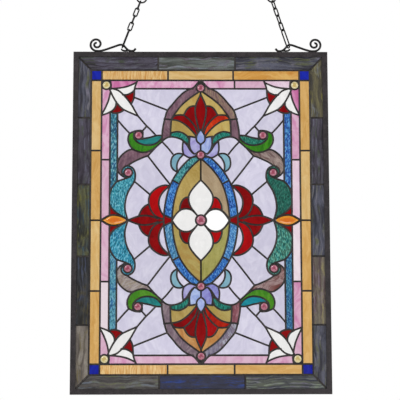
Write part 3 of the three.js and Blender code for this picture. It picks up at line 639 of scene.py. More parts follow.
# %% Smooth glasses: body, wisp and cloud colour, then what differs from the common sheet
RED = {"gloss": 0.15}
PLAIN_RED = {**RED, "press": 0.2, "rough": 0.16}
LONG_AMBER = {"share": 0.75, "length": 90, "width": 6, "ripple": 5}
STILL = {"share": 0.8, "length": 40, "width": 5, "turn": 1.2, "press": 0.3}
LEAFY = {"share": 0.8, "press": 0.5, "gloss": 0.2}
EARTHY = {"share": 1.0, "speck": 0.15, "width": 8}
BUD = {"length": 26, "width": 8, "bend": 1.0}
SMOOTH_GLASSES = {
    "lavender": ((209, 205, 225), (194, 190, 212), (219, 216, 231),
                 {**BUD, "share": 0.6, "ripple": 4, "press": 0.3}),
    "white": ((232, 231, 230), (223, 223, 223), (237, 236, 235),
              {"share": 0.5, "press": 0.15, "tone": 0.05}),
    "red": ((122, 2, 6), (148, 5, 8), (98, 0, 4), PLAIN_RED),
    "bright_red": ((158, 4, 10), (182, 8, 12), (130, 2, 8), PLAIN_RED),
    "ember": ((150, 6, 6), (192, 52, 16), (120, 2, 6), {**RED, "length": 34, "width": 12}),
    "flame": ((178, 20, 8), (222, 84, 30), (140, 4, 8), {**RED, "share": 0.9, "length": 40, "width": 14}),
    "amber": ((208, 170, 106), (222, 192, 136), (200, 156, 86), LONG_AMBER),
    "honey": ((204, 158, 88), (218, 178, 112), (190, 140, 66), LONG_AMBER),
    "streaked_amber": ((202, 146, 74), (232, 202, 144), (190, 128, 54),
                       {"share": 0.9, "length": 40, "width": 1.6, "bend": 0.2, "ripple": 4}),
    "deep_amber": ((200, 144, 66), (222, 182, 108), (186, 122, 46),
                   {"share": 0.75, "length": 70, "width": 10, "bend": 0.8, "ripple": 5}),
    "cobalt": ((20, 28, 146), (26, 46, 176), (14, 14, 112), {"share": 0.6, "rough": 0.1, "gloss": 0.2}),
    "rose": ((192, 106, 156), (214, 146, 184), (178, 82, 138), {"share": 0.75, "length": 50}),
    "pink": ((206, 144, 180), (224, 188, 208), (194, 112, 162), {"share": 0.8, "bend": 1.0}),
    "soft_pink": ((210, 164, 190), (222, 190, 208), (200, 144, 176), {"bend": 0.8}),
    "pale_pink": ((224, 198, 214), (232, 214, 226), (216, 178, 204), {"bend": 0.8}),
    "blush": ((228, 212, 220), (234, 222, 228), (220, 200, 212), {"share": 0.6}),
    "still_teal": ((16, 106, 106), (34, 136, 134), (10, 84, 88), STILL),
    "still_cyan": ((12, 122, 138), (32, 148, 162), (6, 100, 118), STILL),
    "green": ((44, 124, 16), (72, 146, 34), (28, 94, 12), {**LEAFY, "speck": 0.3, "length": 24, "width": 6}),
    "lime": ((62, 132, 26), (92, 150, 44), (40, 108, 18),
             {**LEAFY, "speck": 0.25, "length": 26, "width": 7}),
    "gold": ((172, 146, 78), (186, 162, 96), (156, 128, 60), {**EARTHY, "length": 50, "width": 10}),
    "tan": ((162, 140, 110), (178, 158, 128), (144, 120, 92), {**EARTHY, "length": 50, "width": 10}),
    "moss_gold": ((160, 142, 70), (176, 158, 92), (172, 124, 62), {**EARTHY, "length": 40, "turn": 0.6}),
    "olive": ((152, 146, 76), (170, 164, 96), (136, 136, 62), {**EARTHY, "length": 40, "turn": 0.4}),
    "wheat": ((184, 154, 84), (192, 170, 100), (176, 140, 70), {"share": 1.0, "speck": 0.12, "length": 50}),
    "copper_tan": ((182, 124, 64), (196, 148, 90), (166, 104, 50), {**EARTHY, "length": 40}),
    "bud_blue": ((146, 168, 218), (188, 202, 234), (126, 132, 202),
                 {"share": 0.8, "length": 26, "bend": 1.2}),
    "bud_violet": ((156, 148, 204), (184, 186, 222), (138, 124, 186), BUD),
    "bud_dusk": ((126, 124, 196), (152, 158, 214), (108, 98, 176), {**BUD, "share": 0.8}),
    "crescent": ((118, 166, 184), (142, 186, 202), (98, 146, 168), {"length": 22, "width": 6, "press": 0.5}),
}
GLASSES = {}
for kind, (body, wisp, cloud, own) in SMOOTH_GLASSES.items():
    GLASSES[kind] = sheet_glass(kind + "_glass", body, wisp, cloud, **own)
GLASSES["background"] = GLASSES.pop("lavender")
print(len(GLASSES), "smooth glasses")

# %% [markdown]
# A pressed sheet gets a painted highlight on its crests, in its glint colour, and painted shade in its
# hollows. A streaky one has veins of two more colours.

# %% Pressed glasses: body, wisp, cloud and glint colour (the painted highlight), then length, width and turn of the wisps
PRESSED = {"share": 0.85, "ripple": 1.6, "press": 0.8, "press_depth": 0.7, "rough": 0.12}
PRESSED_GLASSES = {
    "ripple_cobalt": ((34, 82, 168), (60, 132, 196), (22, 50, 158), (104, 170, 212), 26, 10, 0.0),
    "ripple_blue": ((36, 92, 148), (52, 128, 150), (24, 66, 140), (104, 168, 186), 22, 8, 0.0),
    "ripple_aqua": ((36, 96, 132), (58, 140, 148), (26, 70, 132), (132, 188, 196), 20, 7, 0.0),
    "ripple_pale": ((52, 118, 158), (92, 162, 174), (34, 88, 168), (136, 188, 198), 24, 7, 0.0),
    "medallion_blue": ((34, 92, 178), (62, 132, 204), (20, 58, 160), (112, 170, 220), 16, 8, 0.0),
    "medallion_sky": ((60, 122, 190), (92, 154, 204), (40, 98, 178), (140, 188, 222), 16, 8, 0.0),
    "medallion_aqua": ((40, 116, 128), (66, 148, 148), (28, 88, 108), (116, 182, 182), 16, 8, 0.0),
    "medallion_grey": ((58, 122, 174), (88, 152, 186), (40, 94, 170), (132, 180, 206), 18, 7, 0.0),
    "scroll_teal": ((20, 98, 84), (36, 126, 104), (12, 76, 68), (74, 146, 128), 14, 6, 0.5),
    "side_teal": ((16, 86, 74), (30, 110, 94), (8, 62, 56), (52, 122, 106), 16, 4, -0.2),
    "side_aqua": ((30, 118, 112), (88, 132, 108), (20, 92, 96), (104, 184, 168), 18, 4, -0.2),
    "side_cyan": ((40, 134, 156), (62, 158, 176), (26, 104, 136), (140, 208, 220), 22, 3, -0.2),
    "side_blue": ((34, 130, 162), (58, 156, 182), (22, 96, 148), (130, 202, 222), 22, 3, -0.2),
}
for kind, (*colours, length, width, turn) in PRESSED_GLASSES.items():
    GLASSES[kind] = sheet_glass(kind + "_glass", *colours, length=length, width=width, turn=turn, **PRESSED)
LEAF_TEAL = ((18, 110, 98), (38, 134, 118), (12, 88, 82), (60, 150, 134))
GLASSES["leaf_teal"] = sheet_glass("leaf_teal_glass", *LEAF_TEAL, ripple=2.0, length=20, width=5, press=0.6)
print(len(PRESSED_GLASSES) + 1, "pressed glasses")

# %% Streaky glasses: body, wisp and cloud colour, two vein colours, then what differs
MAUVE = {"share": 0.9, "speck": 0.2, "press": 0.5}
MAUVES = {
    "mauve": ((108, 76, 92), (140, 108, 120), (84, 56, 72), ((152, 126, 136), (74, 50, 66)),
              {"length": 24, "width": 5}),
    "wine": ((122, 66, 78), (156, 102, 110), (98, 44, 58), ((168, 130, 138), (84, 38, 52)),
             {"length": 24, "width": 4}),
    "grey_mauve": ((118, 98, 110), (152, 134, 140), (96, 76, 92), ((160, 146, 152), (92, 70, 90)),
                   {"length": 26, "width": 4}),
    "slate_mauve": ((112, 92, 106), (148, 140, 154), (88, 92, 128), ((182, 186, 200), (66, 70, 112)),
                    {"length": 22, "width": 2.6}),
    "mauve_olive": ((112, 74, 90), (142, 116, 112), (152, 136, 90), ((168, 150, 116), (92, 58, 76)),
                    {"length": 26, "width": 4, "cloudy": 0.8}),
    "taupe": ((118, 96, 90), (170, 154, 148), (86, 56, 58), ((184, 166, 158), (88, 60, 64)),
              {"length": 40, "width": 3.2, "turn": 0.9}),
    "olive_taupe": ((136, 118, 122), (172, 164, 162), (132, 116, 88), ((188, 180, 172), (142, 128, 84)),
                    {"length": 40, "width": 4, "turn": -0.7}),
    "dusk": ((112, 54, 50), (88, 32, 30), (190, 174, 174), ((116, 62, 60), (186, 168, 168)),
             {"length": 30, "width": 3, "turn": -0.7, "share": 0.7}),
}
SMOKE = {"share": 0.95, "cloudy": 1.0, "speck": 0.2, "width": 5, "bend": 0.25, "ripple": 5, "press": 0.15,
         "gloss": 0.2}
SMOKES = {
    "purple_smoke": ((54, 49, 58), (82, 78, 90), (42, 38, 44), ((104, 102, 120), (66, 74, 56))),
    "green_smoke": ((66, 69, 66), (118, 124, 120), (60, 56, 50), ((138, 146, 156), (116, 104, 122))),
    "blue_smoke": ((57, 59, 69), (98, 99, 114), (48, 46, 54), ((126, 122, 136), (94, 98, 66))),
    "grey_smoke": ((70, 67, 68), (102, 98, 94), (52, 50, 50), ((108, 114, 74), (112, 120, 134))),
    "night_smoke": ((42, 41, 42), (64, 67, 72), (38, 37, 32), ((74, 82, 104), (86, 78, 50))),
    "olive_smoke": ((76, 72, 62), (108, 102, 76), (56, 54, 52), ((138, 132, 66), (112, 116, 122))),
    "taupe_smoke": ((96, 88, 82), (138, 130, 122), (72, 66, 62), ((154, 148, 140), (118, 108, 78))),
    "brown_smoke": ((84, 73, 76), (110, 104, 92), (78, 58, 62), ((148, 140, 94), (124, 112, 126))),
    "moss_smoke": ((42, 42, 38), (92, 92, 66), (34, 38, 48), ((112, 110, 54), (60, 82, 96))),
    "cobalt_smoke": ((50, 50, 62), (52, 56, 82), (42, 42, 54), ((36, 68, 148), (50, 46, 58))),
    "marsh_smoke": ((56, 57, 68), (90, 94, 82), (44, 46, 58), ((128, 140, 120), (108, 102, 124))),
}
streaky = {kind: (*colours, {**MAUVE, **own}) for kind, (*colours, own) in MAUVES.items()}
streaky.update({kind: (*colours, SMOKE) for kind, colours in SMOKES.items()})
for kind, (body, wisp, cloud, veins, own) in streaky.items():
    GLASSES[kind] = sheet_glass(kind + "_glass", body, wisp, cloud, veins=veins, **own)
print(len(GLASSES), "glasses")

# %% [markdown]
# ## Which glass goes where
# Each piece is named by a point inside it. Where the four quarters differ in colour, the quarter
# is named too. What isn't named is the pale background.

# %% The glass of each piece
GLASS_PLACES = [
    ("white", (138, 214), (135, 236), (160, 208), (0, 45), (30, 0)),
    ("red", (125, 222), (148, 202), (1, 195), (18, 193), (33, 182), (28, 30), (59, 1), (83, 38), (98, 17)),
    ("red", (105, 0), (158, 14)),
    ("cobalt", (186, 262)),
    ("pink", (50, 245), (90, 245), (140, 246), (170, 222), (169.5, 150)),
    ("pale_pink", (169.5, 60)),
    ("mauve", (60, 165), (46, 203)),
    ("wheat", (25, 208), (35, 168)),
    ("leaf_teal", (40, 153)),
    ("bud_blue", (1, 150), (12, 132)),
    ("bud_violet", (24, 122)),
    ("crescent", (48, 103)),
    ("medallion_blue", (51, 48), (30, 92)),
    ("still_teal", (88, 142)),
    ("green", (118, 132)),
]
QUARTER_PLACES = {
    "tr": [
        ("soft_pink", (90, 245)), ("pale_pink", (140, 246)), ("rose", (170, 222)),
        ("flame", (33, 182)), ("bright_red", (28, 30)),
        ("mauve_olive", (46, 203)), ("taupe", (128, 112)), ("scroll_teal", (88, 142)),
        ("side_teal", (146, 40)), ("ripple_cobalt", (155, 120)), ("tan", (12, 88), (43, 20)),
    ],
    "tl": [
        ("rose", (140, 246)), ("soft_pink", (169.5, 60)), ("bright_red", (83, 38)),
        ("gold", (35, 168)), ("mauve", (128, 112)),
        ("side_cyan", (146, 40)), ("ripple_aqua", (155, 120)), ("medallion_aqua", (30, 92)),
        ("gold", (12, 88), (43, 20)), ("bud_violet", (12, 132)),
    ],
    "bl": [
        ("soft_pink", (50, 245), (90, 245), (170, 222), (169.5, 60)), ("blush", (169.5, 150)),
        ("copper_tan", (25, 208)), ("gold", (35, 168)), ("grey_mauve", (60, 165), (46, 203)),
        ("olive_taupe", (128, 112)), ("side_blue", (146, 40)), ("ripple_pale", (155, 120)),
        ("medallion_grey", (51, 48)), ("moss_gold", (12, 88), (43, 20)), ("lime", (118, 132)),
    ],
    "br": [
        ("soft_pink", (50, 245), (90, 245), (170, 222)), ("blush", (169.5, 60)),
        ("bright_red", (83, 38), (18, 193), (28, 30)), ("ember", (33, 182)),
        ("copper_tan", (25, 208)), ("moss_gold", (35, 168)), ("wine", (60, 165)),
        ("slate_mauve", (46, 203)), ("dusk", (128, 112)), ("still_cyan", (88, 142)),
        ("side_aqua", (146, 40)), ("ripple_blue", (155, 120)), ("medallion_sky", (51, 48)),
        ("olive", (12, 88), (43, 20)), ("bud_dusk", (12, 132), (24, 122)), ("lime", (118, 132)),
    ],
}
assigned = {}


def name_pieces(places_of_kinds, quarters):
    for kind, *spots in places_of_kinds:
        for u, v in spots:
            for across, up in quarters:
                assigned[cell_at(u * across, v * up)] = kind


name_pieces(GLASS_PLACES, QUARTERS.values())
for quarter, own in QUARTER_PLACES.items():
    name_pieces(own, [QUARTERS[quarter]])
print(len(assigned), "pieces named")

# %% The strips and the border, piece by piece
def all_round(name, reach_u, reach_v, apart, heights, kinds):
    """The kind and place of pieces above, below, left and right, by name and in the order of kinds."""
    spots = {}
    for row, v in (("top", reach_v), ("bottom", -reach_v)):
        for side, u in (("left", -apart), ("middle", 0), ("right", apart)):
            spots[f"{name}_{row}_{side}"] = (u, v)
    for side, u in (("left", -reach_u), ("right", reach_u)):
        for number, v in enumerate(heights, 1):
            spots[f"{name}_{side}_{number}"] = (u, v)
    return {name: (kind, *spot) for kind, (name, spot) in zip(kinds, spots.items())}


STRIP_GLASS = all_round("amber_strip", 186, 262, 115, (190, 60, -60, -190), (
    "streaked_amber", "amber", "deep_amber", "streaked_amber", "amber", "honey",
    "amber", "honey", "amber", "honey", "honey", "amber", "honey", "honey",
))
BORDER_GLASS = all_round("border_glass", 208, 284, 120, (230, 125, 0, -125, -230), (
    "purple_smoke", "green_smoke", "blue_smoke", "grey_smoke", "cobalt_smoke", "marsh_smoke",
    "blue_smoke", "purple_smoke", "moss_smoke", "night_smoke", "taupe_smoke",
    "olive_smoke", "purple_smoke", "blue_smoke", "brown_smoke", "blue_smoke",
))
ACROSS, UPRIGHT = math.pi / 2, 0.0
turns = {}
for name, (kind, u, v) in {**STRIP_GLASS, **BORDER_GLASS}.items():
    number = cell_at(u, v)
    assigned[number] = kind
    if name in STRIP_GLASS:
        across = "middle" in name or name.endswith("_right")
    else:
        across = "top" in name or "bottom" in name
    turns[number] = ACROSS if across else UPRIGHT
jewel_cells = {cell_at(u, v) for u, v, _ in rings}
MARQUISE_U = 154
marquise_cells = {cell_at(side * MARQUISE_U, 0) for side in (-1, 1)}
print(len(assigned), "pieces named,", len(jewel_cells), "round jewels")


# %% [markdown]
# One object holds all pieces of one glass. A piece is a plate: the same triangles in front and
# behind, and a wall along its cut edge. The sheet's face is a little uneven, which the bump of the
# finish shows at this size.

# %% Plates of glass
def finished(name, mesh, material, nodes=(), smooth_faces=True):
    """A made piece, standing in its place in the model, that rides on the panel."""
    piece = in_scene(bpy.data.objects.new(name, mesh))
    mesh.materials.clear()
    mesh.materials.append(material)
    mesh.transform(STAND)
    mesh.update()
    for polygon in mesh.polygons:
        polygon.use_smooth = smooth_faces
    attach(piece, "root")
    if nodes:
        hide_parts(*nodes)


def rim_of(cell):
    """The directed edges round a set of triangles."""
    edges = {}
    for t in cell:
        a, b, c = triangles[t]
        for edge in ((a, b), (b, c), (c, a)):
            if edge[::-1] in edges:
                del edges[edge[::-1]]
            else:
                edges[edge] = True
    return edges


MOST_TURN = 0.5


def plates(cells_here, back, front, seed, own_turns):
    """A mesh of plates from w = back to w = front, with the attributes that shift and turn the pattern."""
    dice = random.Random(seed)
    verts, polys, cuts, angles = [], [], [], []
    for cell, own_turn in zip(cells_here, own_turns):
        number = {}
        cut = (dice.random(), dice.random(), dice.random())
        angle = dice.uniform(-MOST_TURN, MOST_TURN)
        if own_turn is not None:
            angle = own_turn
        for t in cell:
            for i in triangles[t]:
                if i not in number:
                    number[i] = len(verts)
                    verts += [(places[i].x * MM, places[i].y * MM, w * MM) for w in (front, back)]
                    cuts += cut + cut
                    angles += [angle, angle]
        for t in cell:
            a, b, c = (number[i] for i in triangles[t])
            polys += [(a, b, c), (c + 1, b + 1, a + 1)]
        for i, j in rim_of(cell):
            polys.append((number[j], number[i], number[i] + 1, number[j] + 1))
    mesh = new_mesh("plates", verts, polys)
    point_values(mesh, "cut", "FLOAT_VECTOR", "vector", cuts)
    point_values(mesh, "turn", "FLOAT", "value", angles)
    return mesh


CORNERS = ("top_right", "top_left", "bottom_right", "bottom_left")
OWN_NODES = {
    "white": ["flower_petal_" + side for side in ("top", "bottom", "left", "right")],
    "cobalt": ["corner_square_" + corner for corner in CORNERS],
}
for kind, corner in zip(("side_teal", "side_cyan", "side_aqua", "side_blue"), CORNERS):
    OWN_NODES[kind] = ["teal_leaf_" + corner]
for name, (kind, u, v) in {**STRIP_GLASS, **BORDER_GLASS}.items():
    OWN_NODES.setdefault(kind, []).append(name)
by_glass = {}
for number in range(len(cells)):
    if number not in jewel_cells | marquise_cells:
        by_glass.setdefault(assigned.get(number, "background"), []).append(number)
FACE = GLASS / 2
FIRST_SEED = 3
for seed, (kind, group) in enumerate(sorted(by_glass.items()), FIRST_SEED):
    own_turns = [turns.get(number) for number in group]
    mesh = plates([cells[number] for number in group], -FACE, FACE, seed, own_turns)
    finished(kind + "_pieces", mesh, GLASSES[kind], OWN_NODES.get(kind, ()), smooth_faces=False)
print({kind: len(group) for kind, group in by_glass.items()})


# %% [markdown]
# ## Solder
# Copper foil wraps each edge, and solder runs over it in a rounded bead, front and back, blackened
# with patina. A bead follows its seam, so Geometry Nodes sweep an oval along every line. The radius
# wanders a little, as a hand-run bead does, and a flat drop of solder sits where seams meet.

# %% Patina
BLOTCHES, GRAINS, STAINS = 45, 260, (0.42, 0.62)


def metal(name, dark, worn, rough, metallic, depth):
    material, tree, shader = new_material(name)
    place = node(tree, "ShaderNodeTexCoord")["Object"]
    large = noise(tree, place, BLOTCHES, 4)["Fac"]
    fine = noise(tree, place, GRAINS, 3)["Fac"]
    both = maths(tree, "MULTIPLY_ADD", large, 0.5, maths(tree, "MULTIPLY", fine, 0.5))
    fill(tree, shader, {
        "Base Color": mixed(tree, ranged(tree, both, *STAINS), linear(dark), linear(worn)),
        "Roughness": ranged(tree, large, 0.3, 0.7, rough - 0.08, rough + 0.12),
        "Metallic": metallic,
        "Normal": bumped(tree, both, 0.5, depth),
    })
    return material


PATINA = metal("solder_patina", (30, 26, 25), (54, 49, 46), 0.42, 0.4, 0.3)
RAIL_METAL = metal("rail_patina", (37, 33, 35), (54, 48, 51), 0.5, 0.4, 0.15)
WIRE_METAL = metal("wire_patina", (10, 9, 9), (26, 23, 23), 0.5, 0.3, 0.1)
print("three metals")


# %% Helpers for Geometry Nodes
def geometry_tree(name, inputs):
    """A tree with named inputs and their usual values, and the outputs of its input node."""
    tree = bpy.data.node_groups.new(name, "GeometryNodeTree")
    face = tree.interface
    face.new_socket("Geometry", in_out="INPUT", socket_type="NodeSocketGeometry")
    for label, value in inputs.items():
        kind = "NodeSocketInt" if isinstance(value, int) else "NodeSocketFloat"
        face.new_socket(label, in_out="INPUT", socket_type=kind).default_value = value
    face.new_socket("Material", in_out="INPUT", socket_type="NodeSocketMaterial")
    face.new_socket("Geometry", in_out="OUTPUT", socket_type="NodeSocketGeometry")
    return tree, node(tree, "NodeGroupInput")


def dressed(tree, given, geometry):
    """The end of every tree: instances made real, in the material that is given."""
    real = node(tree, "GeometryNodeRealizeInstances", {0: geometry})[0]
    faces = node(tree, "GeometryNodeSetMaterial", {"Geometry": real, "Material": given["Material"]})[0]
    fill(tree, tree.nodes.new("NodeGroupOutput").inputs, {"Geometry": faces})
    return tree


def swept(tree, line, section, **more):
    """A section drawn along a line."""
    return node(tree, "GeometryNodeCurveToMesh", {"Curve": line, "Profile Curve": section, **more})["Mesh"]


def round_section(tree, sides, diameter):
    radius = maths(tree, "MULTIPLY", diameter, 0.5)
    return node(tree, "GeometryNodeCurvePrimitiveCircle", {"Resolution": sides, "Radius": radius})["Curve"]


def grown(source, tree, material, **sizes):
    """The plain mesh that a tree makes from an object. The object itself goes."""
    in_scene(source)
    modifier = source.modifiers.new("nodes", "NODES")
    modifier.node_group = tree
    values = {**sizes, "Material": material}
    for item in tree.interface.items_tree:
        if item.name in values:
            modifier[item.identifier] = values[item.name]
    bpy.context.view_layer.update()
    whole = source.evaluated_get(bpy.context.evaluated_depsgraph_get())
    mesh = bpy.data.meshes.new_from_object(whole)
    source.modifiers.remove(modifier)
    bpy.data.objects.remove(source)
    return mesh


def lines_object(name, lines, closed=False):
    """A curve object with a poly spline for each line of (x, y), in millimetres."""
    curve = bpy.data.curves.new(name, "CURVE")
    curve.dimensions = "3D"
    for line in lines:
        spline = curve.splines.new("POLY")
        spline.points.add(len(line) - 1)
        for point, place in zip(spline.points, line):
            point.co = (place[0] * MM, place[1] * MM, 0, 1)
        spline.use_cyclic_u = closed
    return bpy.data.objects.new(name, curve)


print("helpers for node trees ready")


# %% Node tree: a bead along each seam
WANDER_SCALE = 90
BEAD_SIDES = 12


def bead_tree():
    tree, given = geometry_tree("solder bead", {"Half Width": 0.0022, "Half Height": 0.0024, "Wander": 0.07})
    wave = noise(tree, node(tree, "GeometryNodeInputPosition")[0], WANDER_SCALE, 2)["Fac"]
    swing = maths(tree, "MULTIPLY_ADD", wave, 2.0, -1.0)
    radius = maths(tree, "MULTIPLY_ADD", swing, given["Wander"], 1.0)
    wandering = {"Curve": given["Geometry"], "Radius": radius}
    line = node(tree, "GeometryNodeSetCurveRadius", wandering)["Curve"]
    halves = xyz(tree, given["Half Width"], given["Half Height"], 1)
    flat = {"Geometry": round_section(tree, BEAD_SIDES, 2.0), "Scale": halves}
    oval = node(tree, "GeometryNodeTransform", flat)["Geometry"]
    return dressed(tree, given, swept(tree, line, oval, **{"Scale": radius, "Fill Caps": True}))


BEAD = bead_tree()
RUN_ON = 0.8
IN_SLOT = 3
SHORTEST = 0.5


def run_on(line):
    """The line with both ends led a little further, into the next seam."""
    start = line[0] + (line[0] - line[1]).normalized() * RUN_ON
    end = line[-1] + (line[-1] - line[-2]).normalized() * RUN_ON
    return [start] + line[1:-1] + [end]


def inside_rails(line):
    """The line with what runs past the rails' slot drawn back into it."""
    reach_u, reach_v = SIGHT_U + IN_SLOT, SIGHT_V + IN_SLOT
    kept = []
    for p in line:
        q = Vector((max(-reach_u, min(reach_u, p.x)), max(-reach_v, min(reach_v, p.y))))
        if not kept or (q - kept[-1]).length > SHORTEST:
            kept.append(q)
    return kept


RING_SIDES = 36
runs = lines_object("seams", [run_on(line) for line in ornament])
loops = lines_object("rings", [circle(u, v, r, RING_SIDES)[:-1] for u, v, r in rings], closed=True)
mesh = joined("ornament_solder", [grown(runs, BEAD, PATINA), grown(loops, BEAD, PATINA)])
finished("ornament_solder", mesh, PATINA, ["leaded_field"])
straight_runs = [inside_rails(line) for line in straights]
straight_runs = [line for line in straight_runs if len(line) > 1]
mesh = grown(lines_object("strips", straight_runs), BEAD, PATINA)
finished("strip_solder", mesh, PATINA)
print(len(ornament), "ornament seams and", len(straight_runs), "straight ones")


# %% Solder drops where seams end
SMALL_DROP, LARGE_DROP = 0.85, 1.12
DROPS_APART = 1.5
POOL = 2.0


def drop_tree():
    tree, given = geometry_tree("solder drops", {"Radius": 0.0023, "Height": 0.0025, "Seed": 4})
    ball = node(tree, "GeometryNodeMeshUVSphere", {"Segments": 10, "Rings": 6, "Radius": 1})["Mesh"]
    spots = node(tree, "GeometryNodeMeshToPoints", {"Mesh": given["Geometry"]})["Points"]
    range_and_seed = {2: SMALL_DROP, 3: LARGE_DROP, "Seed": given["Seed"]}
    chance = node(tree, "FunctionNodeRandomValue", range_and_seed, data_type="FLOAT")[1]
    wide = maths(tree, "MULTIPLY", chance, given["Radius"])
    size = xyz(tree, wide, wide, given["Height"])
    drops = {"Points": spots, "Instance": ball, "Scale": size}
    return dressed(tree, given, node(tree, "GeometryNodeInstanceOnPoints", drops)[0])


ends = []
for line in ornament + straight_runs:
    for p in (line[0], line[-1]):
        if abs(p.x) < SIGHT_U and abs(p.y) < SIGHT_V and all((p - q).length > DROPS_APART for q in ends):
            ends.append(p)
points = bpy.data.objects.new("ends", new_mesh("ends", [(p.x * MM, p.y * MM, 0) for p in ends], []))
finished("solder_drops", grown(points, drop_tree(), PATINA), PATINA)
mesh = plates(filled, -POOL, POOL, 1, [None] * len(filled))
finished("solder_pools", mesh, PATINA, smooth_faces=False)
print(len(ends), "drops and", len(filled), "pools")

# %% [markdown]
# ## Jewels
# The round jewels are pressed glass: a straight edge, a domed face and a flat back. Light leaves
# them at the rim, so the rim is paler than the middle. An attribute that grows from middle to rim
# carries that, and each dome is turned from rings of points, so it can follow a marquise too.

# %% Jewel glass
CLOUDS, CLOUD_SWING, RIM_STARTS = 160, 0.7, 0.35
JEWEL_ROUGHNESS, JEWEL_COAT, COAT_ROUGHNESS = 0.06, 0.5, 0.05


def jewel_glass(name, middle, rim):
    material, tree, shader = new_material(name)
    edge = node(tree, "ShaderNodeAttribute", attribute_name="edge")["Fac"]
    cloud = noise(tree, node(tree, "ShaderNodeTexCoord")["Object"], CLOUDS, 2)["Fac"]
    shift = maths(tree, "MULTIPLY_ADD", cloud, CLOUD_SWING, -CLOUD_SWING / 2)
    share = ranged(tree, maths(tree, "ADD", edge, shift), RIM_STARTS, 1.0)
    fill(tree, shader, {
        "Base Color": mixed(tree, share, linear(middle), linear(rim)),
        "Roughness": JEWEL_ROUGHNESS,
        "Coat Weight": JEWEL_COAT,
        "Coat Roughness": COAT_ROUGHNESS,
    })
    return material


ROSE_JEWEL = jewel_glass("rose_jewel", (146, 64, 86), (188, 118, 138))
YELLOW_JEWEL = jewel_glass("yellow_jewel", (190, 168, 100), (226, 216, 172))
ORANGE_JEWEL = jewel_glass("orange_jewel", (206, 104, 6), (222, 146, 30))
print("three jewel glasses")


# %% Domes
DOME_ROWS = 7


def dome(outline, u, v, rise):
    """Rings of points from the back's rim over the shoulder to the top, and a flat back."""
    levels = [(1.0, -FACE), (1.0, FACE)]
    for i in range(1, DOME_ROWS):
        angle = math.pi / 2 * i / DOME_ROWS
        levels.append((math.cos(angle), FACE + rise * math.sin(angle)))
    verts, polys, edge = [], [], []
    count = len(outline)
    for share, height in levels:
        verts += [((u + p.x * share) * MM, (v + p.y * share) * MM, height * MM) for p in outline]
        edge += [share] * count
    for a in range(0, (len(levels) - 1) * count, count):
        for i in range(count):
            j = (i + 1) % count
            polys.append((a + i, a + j, a + count + j, a + count + i))
    top = len(verts)
    verts.append((u * MM, v * MM, (FACE + rise) * MM))
    edge.append(0.0)
    polys += [(top - count + i, top - count + (i + 1) % count, top) for i in range(count)]
    polys.append(tuple(reversed(range(count))))
    return verts, polys, edge


def jewels(name, items, material, nodes=()):
    verts, polys, edge = [], [], []
    for item in items:
        more_verts, more_polys, more_edge = dome(*item)
        polys += [tuple(i + len(verts) for i in poly) for poly in more_polys]
        verts += more_verts
        edge += more_edge
    mesh = new_mesh(name, verts, polys)
    point_values(mesh, "edge", "FLOAT", "value", edge)
    finished(name, mesh, material, nodes)


UNDER_SOLDER = 0.25
ROUND_SIDES = 40
MARQUISE_STEP = 2.0
DRAWN_IN, REACH_SHARE, TIP_REACH = 1.45, 0.42, 8.0


def round_outline(ring):
    return circle(0, 0, ring - LEAD / 2 + UNDER_SOLDER, ROUND_SIDES)[:-1]


def marquise_outline(side):
    """The marquise's own seam, drawn in to where its solder starts."""
    upper = smooth(MARQUISE_LINES[0], MARQUISE_STEP)
    lower = [Vector((p.x, -p.y)) for p in reversed(upper)]
    outline = []
    for p in (upper + lower[1:-1])[::-1]:
        away = Vector((p.x - MARQUISE_U, p.y))
        reach = 1 - DRAWN_IN / max(away.length * REACH_SHARE, TIP_REACH)
        outline.append(Vector((away.x * reach * side, away.y * reach)))
    return outline if side > 0 else outline[::-1]


ROSE_RISE, LARGE_RISE, MARQUISE_RISE = 2.3, 2.5, 2.4
rose = [(round_outline(r), u, v, ROSE_RISE) for u, v, r in rings if r == ROSE_RING]
jewels("rose_jewels", rose, ROSE_JEWEL)
centre = [(round_outline(CENTRE_JEWEL[2]), 0, 0, LARGE_RISE)]
jewels("centre_rose_jewel", centre, ROSE_JEWEL, ["centre_jewel"])
corner = [(round_outline(r), u, v, LARGE_RISE) for u, v, r in rings if r == CORNER_JEWEL[2]]
jewels("yellow_jewels", corner, YELLOW_JEWEL, ["corner_jewel_" + name for name in CORNERS])
marquises = [(marquise_outline(side), side * MARQUISE_U, 0, MARQUISE_RISE) for side in (1, -1)]
jewels("orange_marquises", marquises, ORANGE_JEWEL, ["marquise_jewel_right", "marquise_jewel_left"])
print(len(rose), "rose jewels")

# %% [markdown]
# ## Frame
# The frame is U-shaped channel, mitred at the corners. Its outline is drawn once, with small rounded
# corners, and run along each side between two mitre planes.

# %% Rails
ROUND_BY, ROUND_STEPS = 1.0, 4
LIP_BY, LIP_MIDDLE = 0.5, 0.15
WEB, SLOT_PLAY = 1.5, 0.3
MITRE_GAP = 0.05
STATIONS = 24


def rail_profile():
    """(r, w) round the channel: r from the sight line outwards, w towards the viewer."""
    half, slot, web = RAIL_DEPTH / 2, FACE + SLOT_PLAY, RAIL_FACE - WEB
    arc = []
    for i in range(ROUND_STEPS + 1):
        angle = math.pi / 2 * i / ROUND_STEPS
        out, up = ROUND_BY * math.sin(angle), ROUND_BY * math.cos(angle)
        arc.append((RAIL_FACE - ROUND_BY + out, half - ROUND_BY + up))
    lip = [(0, slot), (0, half - LIP_BY), (LIP_MIDDLE, half - LIP_MIDDLE), (LIP_BY, half)]
    front = lip + arc
    return front + [(r, -w) for r, w in reversed(front)] + [(web, -slot), (web, slot)]


def flip_outwards(mesh):
    shell = bmesh.new()
    shell.from_mesh(mesh)
    bmesh.ops.recalc_face_normals(shell, faces=shell.faces)
    shell.to_mesh(mesh)
    shell.free()


